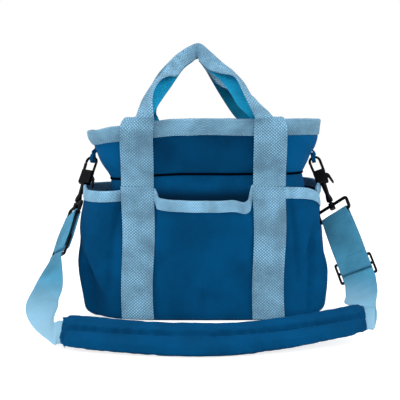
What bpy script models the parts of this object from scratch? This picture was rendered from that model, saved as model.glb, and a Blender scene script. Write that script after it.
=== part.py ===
"""A soft grooming tote bag with outer pockets, two webbing handles and a padded shoulder strap.

Metres, +Z up. The origin is the middle of the base, on the surface that the bag stands on.
The front faces -Y. The shoulder strap is clipped to a tab on each side of the collar and lies
on the floor in front of the bag.
"""
import math

import bmesh
import bpy
from mathutils import Matrix, Vector

# Clearance between pieces that touch
GAP = 0.0003

# Bag body: outer faces of the fabric walls at the base, the waist seam and the rim
BASE_WIDTH = 0.280
BASE_DEPTH = 0.190
WAIST_WIDTH = 0.241
WAIST_DEPTH = 0.187
WAIST_HEIGHT = 0.172
RIM_WIDTH = 0.291
RIM_DEPTH = 0.212
RIM_HEIGHT = 0.233
CORNER_POWER = 4.0
TAPER_POWER = 1.6
FLARE_POWER = 0.85

# Fabric and stiffener thicknesses
BASE_FABRIC = 0.0015
BASE_BOARD = 0.0020
BASE_BOARD_MARGIN = 0.003
WALL_FABRIC = 0.0012
LINING_FABRIC = 0.0008
BINDING_TAPE = 0.0012
RIM_BINDING_HEIGHT = 0.018
PIPING_RADIUS = 0.0014

# Outer pockets
POCKET_FABRIC = 0.0010
POCKET_HEIGHT = 0.146
POCKET_BINDING_HEIGHT = 0.0115
POCKET_SEAM = 0.004
POCKET_STRAP_CLEARANCE = 0.0055
END_POCKET_BULGE = 0.011
SIDE_POCKET_BULGE = 0.0110
POCKET_SAG = 0.004
POCKET_RISE_POWER = 0.8
END_BULGE_POWER = 0.6
SIDE_BULGE_POWER = 0.45

# Webbing handles
HANDLE_WEBBING_WIDTH = 0.038
HANDLE_WEBBING = 0.0016
HANDLE_SPACING = 0.153
HANDLE_STITCH_HEIGHT = 0.1575
HANDLE_RIM_CLEARANCE = 0.0050
HANDLE_FOLD_RADIUS = 0.0020
HANDLE_SPREAD = 4
HANDLE_UPRIGHT = 0.06
HANDLE_TOP = 0.330
HANDLE_APEX_X = -0.006

# Shoulder strap: webbing, line of pull from the side tabs, and hardware
STRAP_WIDTH = 0.038
STRAP_WEBBING = 0.0014
TAB_X = 0.1393
TAB_Y = 0.010
TAB_Z = 0.187
STRAP_LEAN = {"left": 0.25, "right": 0.275}
STRAP_FORWARD = 0.49
EYE_TURN = {"left": math.radians(64.0), "right": math.radians(45.0)}
SLIDER_TURN = {"left": math.radians(60.0), "right": math.radians(17.5)}
HOOK_TURN = math.radians(10.0)
SLIDER_DISTANCE = {"left": 0.128, "right": 0.157}

# Snap hook, measured down its length from the middle of the bow's top
HOOK_WIRE_RADIUS = 0.0017
BOW_RADIUS = 0.0065
HOOK_BODY_START = 0.0195
HOOK_BODY_END = 0.0385
HOOK_BODY_WIDTH = 0.0150
HOOK_BODY_DEPTH = 0.0072
GATE_THICKNESS = 0.0026
GATE_PIN_DISTANCE = 0.0280
GATE_PIN_RADIUS = 0.0011
STEM_RADIUS = 0.0020
BARREL_RADIUS = 0.0034
BARREL_END = 0.0640
STEM_HEAD_RADIUS = 0.0036
STEM_HEAD_LENGTH = 0.0022
BARREL_START = HOOK_BODY_END - 0.0020
BARREL_WAIST = BARREL_END - 0.0100
BARREL_RIM = BARREL_END - 0.0040
BARREL_RIM_EXTRA = 0.0006
STEM_STEP = 0.0010
BODY_BEVEL = 0.0012
CUT_CLEARANCE = 0.0020
BOW_NOSE_DISTANCE = 0.0088
GATE_SLOT_END = 0.0345
GATE_LEDGE = 0.0255
GATE_LEDGE_ACROSS = 0.0035
GATE_TIP_CLEARANCE = 0.0009
GATE_TIP_SLANT = 0.0007

# Wire loop at the end of each strap, and the slider's sides
EYE_BAR_DISTANCE = 0.0700
EYE_SLOT_DISTANCE = 0.0840
EYE_WIRE_RADIUS = 0.0021
EYE_CORNER = 0.0030
EYE_BOSS_RADIUS = 0.0036
EYE_BOSS_HALF_HEIGHT = 0.0028
FRAME_SIDE_WIDTH = 0.0028
FRAME_CLEARANCE = 0.0016

# Slider that sets the strap's length
SLIDER_THICKNESS = 0.0024
SLIDER_BAR_WIDTH = 0.0030
SLIDER_BAR_SPACING = 0.0120
SLIDER_TAIL = 0.0060
SLIDER_EXIT = 0.0170

# Fabric tab that each hook hangs on
TAB_WIDTH = 0.0046
TAB_FABRIC = 0.0010
TAB_STAND = 0.0011
TAB_LOOP_RADIUS = 0.0050
TAB_FOOT_HEIGHT = 0.210
TAB_DROP = 0.0010
TAB_SAG = 2.0

# Shoulder pad, lying on its lower long edge and leaning back
PAD_WIDTH = 0.052
PAD_COVER = 0.0010
PAD_FOAM = 0.0075
PAD_SEAM = 0.0020
PAD_HEM = 0.05
PAD_FRONT_SHARE = 0.7
PAD_INSERT = 0.025
PAD_LEAD = 0.022
PAD_LEFT = Vector((-0.1475, -0.220, 0.0))
PAD_RIGHT = Vector((0.1644, -0.187, 0.0))
PAD_BOW = 0.045
PAD_END_NARROWING = 0.12
PAD_END_ROUNDING = 0.07
PAD_END_LIFT = 0.012
PAD_REST = 0.9
PAD_END_TAPER = 0.08
PAD_LANE_POWER = 0.6
PAD_LEAN_LEFT = Vector((-0.10, 0.845, 0.525))
PAD_LEAN_MIDDLE = Vector((0.0, 0.848, 0.530))
PAD_LEAN_RIGHT = Vector((0.15, 0.86, 0.45))

# Counts along the curved pieces
CIRCLE_SIDES = 12
WIRE_SIDES = 8
CORNER_STEPS = 3
CREASE_ANGLE = math.radians(40.0)

MATERIALS = {
    "petrol_fabric": ((0.000, 0.055, 0.150), 0.75, 0.0),
    "light_webbing": ((0.130, 0.290, 0.440), 0.80, 0.0),
    "dark_cord": ((0.003, 0.006, 0.012), 0.75, 0.0),
    "dark_hardware": ((0.004, 0.005, 0.007), 0.35, 0.0),
    "lining_fabric": ((0.004, 0.030, 0.075), 0.85, 0.0),
    "board": ((0.080, 0.080, 0.080), 0.90, 0.0),
    "foam": ((0.500, 0.500, 0.480), 0.95, 0.0),
}


def clear_scene():
    for item in list(bpy.data.objects):
        bpy.data.objects.remove(item)


def material(name):
    """One Principled material for each finish."""
    if name in bpy.data.materials:
        return bpy.data.materials[name]
    colour, roughness, metallic = MATERIALS[name]
    made = bpy.data.materials.new(name)
    made.use_nodes = True
    shader = made.node_tree.nodes["Principled BSDF"]
    shader.inputs["Base Color"].default_value = (*colour, 1.0)
    shader.inputs["Roughness"].default_value = roughness
    shader.inputs["Metallic"].default_value = metallic
    return made


def add_object(name, mesh_data, finish, origin=None):
    """Put a bmesh in the scene with its origin at a point on its joint's axis."""
    origin = origin or Vector()
    bmesh.ops.recalc_face_normals(mesh_data, faces=mesh_data.faces)
    bmesh.ops.translate(mesh_data, verts=mesh_data.verts, vec=-origin)
    mesh = bpy.data.meshes.new(name)
    mesh_data.to_mesh(mesh)
    mesh_data.free()
    mesh.shade_smooth()
    mesh.set_sharp_from_angle(angle=CREASE_ANGLE)
    item = bpy.data.objects.new(name, mesh)
    item.location = origin
    item.data.materials.append(material(finish))
    bpy.context.scene.collection.objects.link(item)
    return item


def carried(item, parent):
    """Let a piece turn with the empty on its joint's axis, without moving it."""
    item.parent = parent
    item.matrix_parent_inverse = parent.matrix_world.inverted()
    return item


def loft(sections, ring=False):
    """Skin a row of closed sections. A ring joins the last to the first, else both ends are capped."""
    skin = bmesh.new()
    rows = [[skin.verts.new(point) for point in section] for section in sections]
    pairs = list(zip(rows, rows[1:]))
    if ring:
        pairs.append((rows[-1], rows[0]))
    for first, second in pairs:
        count = len(first)
        for index in range(count):
            after = (index + 1) % count
            skin.faces.new((first[index], first[after], second[after], second[index]))
    if not ring:
        skin.faces.new(rows[0])
        skin.faces.new(rows[-1])
    return skin


def mix(first, second, share):
    return first + (second - first) * share


def smooth_route(points, steps):
    """A smooth curve through vectors or numbers, with the same number of steps in each span."""
    route = []
    for index in range(len(points) - 1):
        before = points[max(index - 1, 0)]
        start = points[index]
        end = points[index + 1]
        after = points[min(index + 2, len(points) - 1)]
        for step in range(steps):
            share = step / steps
            square = share * share
            cube = square * share
            route.append(0.5 * (2.0 * start + (end - before) * share
                                + (2.0 * before - 5.0 * start + 4.0 * end - after) * square
                                + (3.0 * start - before - 3.0 * end + after) * cube))
    route.append(points[-1])
    return route


# The bag's plan is one rounded outline whose size changes with height

def wall_half_sizes(z):
    """Half width and half depth of the outer wall at a height."""
    base = Vector((BASE_WIDTH / 2, BASE_DEPTH / 2))
    waist = Vector((WAIST_WIDTH / 2, WAIST_DEPTH / 2))
    rim = Vector((RIM_WIDTH / 2, RIM_DEPTH / 2))
    if z <= WAIST_HEIGHT:
        return mix(base, waist, (max(z, 0.0) / WAIST_HEIGHT) ** TAPER_POWER)
    share = (z - WAIST_HEIGHT) / (RIM_HEIGHT - WAIST_HEIGHT)
    return mix(waist, rim, share ** FLARE_POWER)


def wall_point(angle, z, offset):
    """A point on the outline at a height, moved out from the wall's outer face by an offset."""
    half = wall_half_sizes(z)
    power = 2.0 / CORNER_POWER
    across = math.copysign(abs(math.cos(angle)) ** power, math.cos(angle))
    along = math.copysign(abs(math.sin(angle)) ** power, math.sin(angle))
    return Vector(((half.x + offset) * across, (half.y + offset) * along, z))


def angles_at_shares(start, end, shares):
    """Outline angles at shares of the way from one angle to another, by distance at the pocket's height."""
    fine = 600
    angles = [mix(start, end, index / fine) for index in range(fine + 1)]
    points = [wall_point(angle, POCKET_HEIGHT, 0.0) for angle in angles]
    lengths = [0.0]
    for first, second in zip(points, points[1:]):
        lengths.append(lengths[-1] + (second - first).length)
    chosen = []
    index = 0
    for share in shares:
        while index < fine and lengths[index] < lengths[-1] * share - 1e-9:
            index += 1
        chosen.append(angles[index])
    return chosen, lengths[-1]


def angle_at_x(x, z, front, offset=0.0):
    """The outline angle where the front or rear face, moved out by an offset, crosses a given x."""
    share = max(-1.0, min(1.0, x / (wall_half_sizes(z).x + offset)))
    angle = math.acos(math.copysign(abs(share) ** (CORNER_POWER / 2.0), share))
    return -angle if front else angle


def heights(low, high, rows):
    return [mix(low, high, row / rows) for row in range(rows + 1)]


def wall_ring(name, levels, thickness, finish):
    """A fabric wall all round the bag, with its outer face on the wall line."""
    sections = []
    for angle in RING_ANGLES:
        outside = [wall_point(angle, z, 0.0) for z in levels]
        inside = [wall_point(angle, z, -thickness) for z in reversed(levels)]
        sections.append(outside + inside)
    return add_object(name, loft(sections, ring=True), finish)


def plate(name, low, high, inset, finish):
    """A flat plate with the bag's outline."""
    sections = [[wall_point(angle, z, -inset) for angle in RING_ANGLES] for z in (low, high)]
    return add_object(name, loft(sections), finish)


# Outer pockets, each a panel that stands away from the wall between two straps

class Pocket:
    """One pocket's place on the outline, from one strap's middle to the next, and its fullness."""

    def __init__(self, name, start, end, bulge, power, columns):
        self.name = name
        self.bulge = bulge
        self.power = power
        covered = HANDLE_WEBBING_WIDTH / 2 - POCKET_SEAM / 2 + POCKET_STRAP_CLEARANCE
        length = angles_at_shares(start, end, [0.0])[1]
        self.margin = covered / length
        shares = [0.0] + [mix(self.margin, 1.0 - self.margin, step / columns) for step in range(columns + 1)]
        self.shares = shares + [1.0]
        self.angles = angles_at_shares(start, end, self.shares)[0]

    def fullness(self, index, power):
        """Nothing under the straps, and one halfway between them."""
        share = (self.shares[index] - self.margin) / (1.0 - 2.0 * self.margin)
        return max(0.0, math.sin(math.pi * min(max(share, 0.0), 1.0))) ** power

    def top(self, index):
        return POCKET_HEIGHT - POCKET_SAG * self.fullness(index, 1.0)

    def point(self, index, z, offset):
        """A point at an offset from the pocket panel's inner face."""
        rise = (max(z, 0.0) / POCKET_HEIGHT) ** POCKET_RISE_POWER
        stand = GAP + self.bulge * self.fullness(index, self.power) * rise
        return wall_point(self.angles[index], z, stand + offset)

    def panel(self):
        sections = []
        for index in range(len(self.angles)):
            top = self.top(index)
            levels = heights(WALL_LOW, top - POCKET_BINDING_HEIGHT, 4) + [top]
            outside = [self.point(index, z, POCKET_FABRIC) for z in levels]
            inside = [self.point(index, z, 0.0) for z in reversed(levels)]
            sections.append(outside + inside)
        return add_object(self.name, loft(sections), "petrol_fabric")

    def binding(self):
        """Tape along the outside of the panel's top edge and over it."""
        sections = []
        outer = POCKET_FABRIC + 2.0 * GAP
        for index in range(len(self.angles)):
            top = self.top(index)
            low = top - POCKET_BINDING_HEIGHT
            cover = top + GAP
            high = cover + BINDING_TAPE
            sections.append([self.point(index, low, outer + BINDING_TAPE),
                             self.point(index, top, outer + BINDING_TAPE),
                             self.point(index, high, outer + BINDING_TAPE), self.point(index, high, 0.0),
                             self.point(index, cover, 0.0), self.point(index, cover, outer),
                             self.point(index, top, outer), self.point(index, low, outer)])
        return add_object(self.name + "_binding", loft(sections), "light_webbing")


def bag_pockets():
    """Two end pockets between the straps, and two side pockets that wrap from strap to strap."""
    inner = HANDLE_SPACING / 2 - POCKET_SEAM / 2
    outer = HANDLE_SPACING / 2 + POCKET_SEAM / 2
    front = [angle_at_x(x, POCKET_HEIGHT, True) for x in (-inner, inner)]
    rear = [angle_at_x(x, POCKET_HEIGHT, False) for x in (inner, -inner)]
    turn = angle_at_x(outer, POCKET_HEIGHT, False)
    return [Pocket("front_pocket", *front, END_POCKET_BULGE, END_BULGE_POWER, 8),
            Pocket("right_side_pocket", -turn, turn, SIDE_POCKET_BULGE, SIDE_BULGE_POWER, 16),
            Pocket("rear_pocket", *rear, END_POCKET_BULGE, END_BULGE_POWER, 8),
            Pocket("left_side_pocket", math.pi - turn, math.pi + turn, SIDE_POCKET_BULGE,
                    SIDE_BULGE_POWER, 16)]


# Base, walls, collar and lining

WALL_LOW = BASE_FABRIC + GAP
BOARD_TOP = WALL_LOW + BASE_BOARD
LINING_LOW = BOARD_TOP + GAP
LINING_OFFSET = -WALL_FABRIC - GAP
COLLAR_LOW = WAIST_HEIGHT + PIPING_RADIUS + GAP
BODY_HIGH = WAIST_HEIGHT - PIPING_RADIUS - GAP
RIM_TOP = RIM_HEIGHT + GAP + BINDING_TAPE
RIM_BAND_LOW = RIM_TOP - RIM_BINDING_HEIGHT
POCKETS = bag_pockets()
RING_ANGLES = [angle for pocket in POCKETS for angle in pocket.angles]
BODY_LEVELS = heights(WALL_LOW, BODY_HIGH, 6)
COLLAR_LEVELS = heights(COLLAR_LOW, RIM_BAND_LOW, 3) + [RIM_HEIGHT]


def base_and_walls():
    plate("base_panel", 0.0, BASE_FABRIC, 0.0, "petrol_fabric")
    plate("base_board", WALL_LOW, BOARD_TOP, WALL_FABRIC + BASE_BOARD_MARGIN, "board")
    wall_ring("body_panel", BODY_LEVELS, WALL_FABRIC, "petrol_fabric")
    wall_ring("collar_panel", COLLAR_LEVELS, WALL_FABRIC, "petrol_fabric")


def lining():
    """One cup of thin fabric that stands inside the walls, over the base board."""
    inner = LINING_OFFSET - LINING_FABRIC
    wall_levels = BODY_LEVELS[1:-1] + [WAIST_HEIGHT] + COLLAR_LEVELS[1:]
    tucked = {WAIST_HEIGHT: GAP + PIPING_RADIUS / 2}
    levels = [(z, LINING_OFFSET - tucked.get(z, 0.0)) for z in [LINING_LOW] + wall_levels]
    levels += [(z, inner - tucked.get(z, 0.0)) for z in wall_levels[::-1] + [LINING_LOW + LINING_FABRIC]]
    sections = [[wall_point(angle, z, offset) for angle in RING_ANGLES] for z, offset in levels]
    add_object("lining", loft(sections), "lining_fabric")


def waist_piping():
    """A thin round cord that covers the seam between the body and the collar."""
    sections = []
    for angle in RING_ANGLES:
        section = []
        for side in range(WIRE_SIDES):
            turn = 2.0 * math.pi * side / WIRE_SIDES
            point = wall_point(angle, WAIST_HEIGHT, PIPING_RADIUS * math.cos(turn))
            section.append(point + Vector((0.0, 0.0, PIPING_RADIUS * math.sin(turn))))
        sections.append(section)
    add_object("waist_piping", loft(sections, ring=True), "dark_cord")


def rim_binding():
    """Wide tape folded over the collar and the lining all round the mouth."""
    outer = GAP
    inner = LINING_OFFSET - LINING_FABRIC - GAP
    under = RIM_HEIGHT + GAP
    outside = [(z, outer + BINDING_TAPE) for z in (RIM_BAND_LOW, RIM_HEIGHT, RIM_TOP)]
    inside = [(z, inner - BINDING_TAPE) for z in (RIM_TOP, RIM_HEIGHT, RIM_BAND_LOW)]
    slot = [(z, inner) for z in (RIM_BAND_LOW, RIM_HEIGHT, under)]
    slot += [(z, outer) for z in (under, RIM_HEIGHT, RIM_BAND_LOW)]
    profile = outside + inside + slot
    sections = [[wall_point(angle, z, offset) for z, offset in profile] for angle in RING_ANGLES]
    add_object("rim_binding", loft(sections, ring=True), "light_webbing")


def outer_pockets():
    for pocket in POCKETS:
        pocket.panel()
        pocket.binding()


# Handles: webbing sewn flat to the walls up to a stitch line, and free above it

STRAP_OFFSET = 5.0 * GAP + POCKET_FABRIC + BINDING_TAPE


def sewn_straps():
    """The four lengths of handle webbing that are sewn to the bag, over the pocket seams."""
    for face, front in (("front", True), ("rear", False)):
        for side, sign in (("left", -1.0), ("right", 1.0)):
            middle = sign * HANDLE_SPACING / 2
            sections = []
            for z in heights(WALL_LOW, HANDLE_STITCH_HEIGHT, 8):
                lanes = heights(middle - HANDLE_WEBBING_WIDTH / 2, middle + HANDLE_WEBBING_WIDTH / 2, 4)
                inside = [strap_point(x, z, front, 0.0) for x in lanes]
                outside = [strap_point(x, z, front, HANDLE_WEBBING) for x in reversed(lanes)]
                sections.append(inside + outside)
            add_object(f"{face}_{side}_strap", loft(sections), "light_webbing")


def strap_point(x, z, front, thickness):
    """A point on a strap, which lies over the pocket binding and the wall."""
    point = wall_point(angle_at_x(x, z, front, STRAP_OFFSET), z, STRAP_OFFSET)
    out = -1.0 if front else 1.0
    return Vector((x, point.y + out * thickness, z))


def handle_axis(front):
    """A point on the line about which a handle folds down, just clear of the sewn straps' outer faces."""
    inner_edge = HANDLE_SPACING / 2 - HANDLE_WEBBING_WIDTH / 2
    point = strap_point(inner_edge, HANDLE_STITCH_HEIGHT, front, HANDLE_WEBBING + GAP)
    return Vector((0.0, point.y, HANDLE_STITCH_HEIGHT))


# Each leg from the stitch line to the apex: place across as a share of half the spacing, height
# as a share of the way from the rim to the handle's top, and how far the webbing is folded
FRONT_LEFT_LEG = ((-1.00, 0.00, 0.0), (-0.93, 0.09, 8.0), (-0.83, 0.22, 30.0), (-0.76, 0.34, 65.0),
                  (-0.70, 0.45, 105.0), (-0.61, 0.62, 150.0), (-0.48, 0.80, 174.0), (-0.30, 0.93, 180.0))
FRONT_RIGHT_LEG = ((1.00, 0.00, 0.0), (0.94, 0.09, 8.0), (0.81, 0.23, 30.0), (0.69, 0.35, 65.0),
                   (0.57, 0.48, 105.0), (0.44, 0.62, 150.0), (0.27, 0.77, 174.0), (0.09, 0.91, 180.0))
REAR_LEFT_LEG = ((-1.00, 0.00, 0.0), (-0.96, 0.09, 8.0), (-0.90, 0.22, 30.0), (-0.85, 0.34, 65.0),
                 (-0.78, 0.47, 105.0), (-0.66, 0.65, 150.0), (-0.50, 0.82, 174.0), (-0.30, 0.94, 180.0))
REAR_RIGHT_LEG = ((1.00, 0.00, 0.0), (0.92, 0.09, 8.0), (0.77, 0.23, 30.0), (0.63, 0.35, 65.0),
                  (0.50, 0.48, 105.0), (0.37, 0.62, 150.0), (0.22, 0.77, 174.0), (0.08, 0.91, 180.0))
# From the stitch line to the rim: shares of the way outward and up, and the clearance at the stitches
HANDLE_FLARE = ((0.0, 0.0, GAP), (0.45, 0.4, 0.0), (0.90, 0.8, 0.0))
APEX_SHARES = ((2.0 * HANDLE_APEX_X / HANDLE_SPACING, 1.0, 180.0),)


def handle_stations(front):
    """Fold line, across direction and fold angle along a handle, from its left end to its right end."""
    legs = (FRONT_LEFT_LEG, FRONT_RIGHT_LEG) if front else (REAR_LEFT_LEG, REAR_RIGHT_LEG)
    out = -1.0 if front else 1.0
    stitch_y = strap_point(HANDLE_SPACING / 2, HANDLE_STITCH_HEIGHT, front, HANDLE_WEBBING / 2).y
    rim_y = out * (RIM_DEPTH / 2 + BINDING_TAPE + GAP + HANDLE_RIM_CLEARANCE)
    apex_y = out * (2.0 * HANDLE_FOLD_RADIUS + HANDLE_WEBBING / 2 + GAP)

    def free_points(leg):
        points = []
        for across, rise, fold in leg:
            lean = mix(rim_y, apex_y, max(0.0, rise - HANDLE_UPRIGHT) / (1.0 - HANDLE_UPRIGHT))
            points.append(Vector((across * HANDLE_SPACING / 2, lean, mix(RIM_TOP, HANDLE_TOP, rise), fold)))
        return points

    def sewn_points(sign):
        x = sign * HANDLE_SPACING / 2
        return [Vector((x, mix(stitch_y, rim_y, outward), mix(HANDLE_STITCH_HEIGHT, RIM_TOP, rise) + low, 0.0))
                for outward, rise, low in HANDLE_FLARE]

    left = sewn_points(-1.0) + free_points(legs[0])
    right = sewn_points(1.0) + free_points(legs[1])
    return smooth_route(left + free_points(APEX_SHARES) + right[::-1], 2)


def folded_section(point, across, normal, fold):
    """Webbing folded along its middle. The fold line is at the point and the far half turns behind."""
    turn = math.radians(max(fold, 1.0))
    bend = math.pi * HANDLE_FOLD_RADIUS
    radius = bend / turn
    straight = (HANDLE_WEBBING_WIDTH - bend) / 2
    arc = [turn * step / 4 for step in range(5)]
    path = [(-bend / 2 - straight, 0.0, 0.0), (-bend / 2 - straight / 2, 0.0, 0.0)]
    path += [(radius * math.sin(a) - bend / 2, radius * (math.cos(a) - 1.0), a) for a in arc]
    end = path[-1]
    for share in (0.5, 1.0):
        path.append((end[0] + share * straight * math.cos(turn), end[1] - share * straight * math.sin(turn), turn))
    thick = HANDLE_WEBBING / 2

    def place(x, n, a, side):
        return (point + across * (x + side * thick * math.sin(a)) + normal * (n + side * thick * math.cos(a)))

    return [place(x, n, a, 1.0) for x, n, a in path] + [place(x, n, a, -1.0) for x, n, a in reversed(path)]


def handles():
    """Two loops of webbing, folded in half along the grip, that turn down about their stitch lines."""
    for name, front in (("front_handle", True), ("rear_handle", False)):
        stations = handle_stations(front)
        facing = Vector((0.0, -1.0 if front else 1.0, 0.25))
        sections = []
        for index, station in enumerate(stations):
            point = station.xyz
            before = stations[max(index - HANDLE_SPREAD, 0)].xyz
            after = stations[min(index + HANDLE_SPREAD, len(stations) - 1)].xyz
            along = (after - before).normalized()
            across = facing.cross(along) if front else along.cross(facing)
            across = (across - along * across.dot(along)).normalized()
            normal = along.cross(across) if front else across.cross(along)
            sections.append(folded_section(point, across, normal, station.w))
        add_object(name, loft(sections), "light_webbing", origin=handle_axis(front))


# Shoulder strap: hook, eye, slider and webbing share one straight line of pull on each side

class PullLine:
    """Axes of one side's hardware. down runs along the pull, across along a bar, face away from the bag."""

    def __init__(self, side):
        self.side = side
        self.sign = -1.0 if side == "left" else 1.0
        lean = STRAP_LEAN[side]
        fall = -math.sqrt(1.0 - lean ** 2 - STRAP_FORWARD ** 2)
        self.top = Vector((self.sign * TAB_X, TAB_Y, TAB_Z))
        self.down = Vector((self.sign * lean, -STRAP_FORWARD, fall))
        sideways = Vector((1.0, 0.0, 0.0))
        self.level = (sideways - self.down * sideways.dot(self.down)).normalized()
        self.deep = self.down.cross(self.level)

    def frame(self, turn):
        """A matrix whose X runs down the pull, Y across and Z out of the face."""
        across = self.level * math.cos(turn) + self.deep * math.sin(turn)
        matrix = Matrix((self.down, across, self.down.cross(across))).transposed().to_4x4()
        matrix.translation = self.top
        return matrix


PULLS = [PullLine("left"), PullLine("right")]


def box_mesh(low, high):
    """A box between two corners."""
    box = bmesh.new()
    bmesh.ops.create_cube(box, size=1.0)
    size = Vector(high) - Vector(low)
    bmesh.ops.scale(box, vec=size, verts=box.verts)
    bmesh.ops.translate(box, vec=(Vector(high) + Vector(low)) / 2, verts=box.verts)
    return box


def turned_mesh(profile):
    """A solid turned about the local X axis, from a list of distances along it and radii."""
    sections = []
    for along, radius in profile:
        turns = [2.0 * math.pi * side / CIRCLE_SIDES for side in range(CIRCLE_SIDES)]
        sections.append([Vector((along, radius * math.cos(turn), radius * math.sin(turn))) for turn in turns])
    return loft(sections)


def wire_mesh(path, radius, ring=False):
    """A round wire along points in the local X-Y plane."""
    sections = []
    last = len(path) - 1
    for index, point in enumerate(path):
        before = path[index - 1] if ring else path[max(index - 1, 0)]
        after = path[(index + 1) % len(path)] if ring else path[min(index + 1, last)]
        along = (after - before).normalized()
        side = Vector((-along.y, along.x, 0.0))
        up = Vector((0.0, 0.0, 1.0))
        turns = [2.0 * math.pi * step / WIRE_SIDES for step in range(WIRE_SIDES)]
        sections.append([point + side * radius * math.cos(turn) + up * radius * math.sin(turn) for turn in turns])
    return loft(sections, ring)


def rounded_loop(low, high, half_width, corner):
    """Points round a rectangle in the local X-Y plane, with round corners."""
    centres = ((high - corner, half_width - corner), (low + corner, half_width - corner),
               (low + corner, corner - half_width), (high - corner, corner - half_width))
    points = []
    for number, (along, across) in enumerate(centres):
        for step in range(CORNER_STEPS + 1):
            turn = math.pi / 2 * (number + step / CORNER_STEPS)
            points.append(Vector((along + corner * math.cos(turn), across + corner * math.sin(turn), 0.0)))
    return points


def cross_rod(along, across, radius, half_length):
    """A round rod that stands square to the hook's face, at a place along and across it."""
    rod = bmesh.new()
    bmesh.ops.create_cone(rod, cap_ends=True, segments=CIRCLE_SIDES, radius1=radius, radius2=radius,
                          depth=2.0 * half_length)
    bmesh.ops.translate(rod, vec=(along, across, 0.0), verts=rod.verts)
    return rod


def prism(outline, half_depth):
    """A flat outline, as distances along and across, given a thickness both ways."""
    return loft([[Vector((along, across, z)) for along, across in outline] for z in (-half_depth, half_depth)])


def placed(name, mesh_data, finish, matrix, parent=None):
    """A piece whose mesh is in the axes of a matrix."""
    item = add_object(name, mesh_data, finish)
    item.matrix_world = matrix
    return carried(item, parent) if parent else item


def combine(target, tool_mesh, operation, name):
    """Join another shape to a piece, or cut it away. The tool itself isn't part of the bag."""
    tool = placed(name, tool_mesh, "dark_hardware", target.matrix_world)
    tool.hide_render = True
    tool.display_type = "WIRE"
    step = target.modifiers.new(operation.lower() + "_" + name, "BOOLEAN")
    step.operation = operation
    step.object = tool
    return tool


def axis_empty(name, place):
    """An empty on a joint's axis, which carries the pieces that move together."""
    empty = bpy.data.objects.new(name, None)
    empty.location = place
    bpy.context.scene.collection.objects.link(empty)
    bpy.context.view_layer.update()
    return empty


def hook(pull, parent):
    """A swivel snap hook: an open bow, a body with two cheeks, a barrel and a headed stem."""
    matrix = pull.frame(HOOK_TURN)
    name = pull.side + "_hook"
    half_width = HOOK_BODY_WIDTH / 2
    half_depth = HOOK_BODY_DEPTH / 2
    body = box_mesh((HOOK_BODY_START, -half_width, -half_depth), (HOOK_BODY_END, half_width, half_depth))
    bmesh.ops.bevel(body, geom=body.edges, offset=BODY_BEVEL, segments=2, profile=0.5,
                    affect="EDGES", material=-1)
    item = placed(name, body, "dark_hardware", matrix, parent)
    arc = [math.pi * step / 10 for step in range(11)]
    bow = [Vector((BOW_RADIUS * (1.0 - math.sin(a)), -BOW_RADIUS * math.cos(a), 0.0)) for a in arc]
    nose = Vector((BOW_NOSE_DISTANCE, -BOW_RADIUS, 0.0))
    leg_end = Vector((HOOK_BODY_START + BOW_RADIUS / 2, BOW_RADIUS, 0.0))
    combine(item, wire_mesh([nose] + bow + [leg_end], HOOK_WIRE_RADIUS), "UNION", name + "_bow")
    thick_stem = STEM_RADIUS + BARREL_RIM_EXTRA
    barrel_rim = BARREL_RADIUS + BARREL_RIM_EXTRA
    head_start = EYE_BAR_DISTANCE + EYE_BOSS_HALF_HEIGHT + GAP
    profile = [(BARREL_START, BARREL_RADIUS), (HOOK_BODY_END + BARREL_RADIUS, BARREL_RADIUS),
               (BARREL_WAIST, thick_stem), (BARREL_RIM, barrel_rim), (BARREL_END, barrel_rim),
               (BARREL_END + STEM_STEP, STEM_RADIUS), (head_start, STEM_RADIUS),
               (head_start + GAP, STEM_HEAD_RADIUS), (head_start + STEM_HEAD_LENGTH, STEM_HEAD_RADIUS)]
    combine(item, turned_mesh(profile), "UNION", name + "_barrel")
    near = -half_width - CUT_CLEARANCE
    far = half_width + CUT_CLEARANCE
    before = HOOK_BODY_START - CUT_CLEARANCE
    beyond = HOOK_BODY_END + CUT_CLEARANCE
    outline = ((before, near), (GATE_SLOT_END, near), (GATE_SLOT_END, GATE_LEDGE_ACROSS),
               (beyond, GATE_LEDGE_ACROSS), (beyond, far), (GATE_LEDGE, far),
               (GATE_LEDGE, GATE_LEDGE_ACROSS), (before, GATE_LEDGE_ACROSS))
    combine(item, prism(outline, GATE_THICKNESS / 2 + GAP), "DIFFERENCE", name + "_slot")
    combine(item, cross_rod(GATE_PIN_DISTANCE, 0.0, GATE_PIN_RADIUS + GAP, HOOK_BODY_DEPTH),
            "DIFFERENCE", name + "_pin_hole")
    pin = cross_rod(GATE_PIN_DISTANCE, 0.0, GATE_PIN_RADIUS, half_depth + GAP)
    placed(pull.side + "_gate_pin", pin, "dark_hardware", matrix, parent)


# Outline of the gate in the hook's plane, as distances along and across: the finger that closes
# the bow, the plate between the cheeks and the thumb lever
GATE_FINGER_START = BOW_NOSE_DISTANCE + GATE_TIP_CLEARANCE
GATE_OUTLINE = ((GATE_FINGER_START + GATE_TIP_SLANT, -0.0080), (0.0320, -0.0068), (0.0320, 0.0040),
                (0.0330, 0.0088),
                (0.0410, 0.0108), (0.0425, 0.0125), (0.0400, 0.0132), (0.0290, 0.0112), (0.0262, 0.0090),
                (0.0262, 0.0010), (0.0215, 0.0010), (0.0195, -0.0046), (GATE_FINGER_START, -0.0050))


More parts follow.
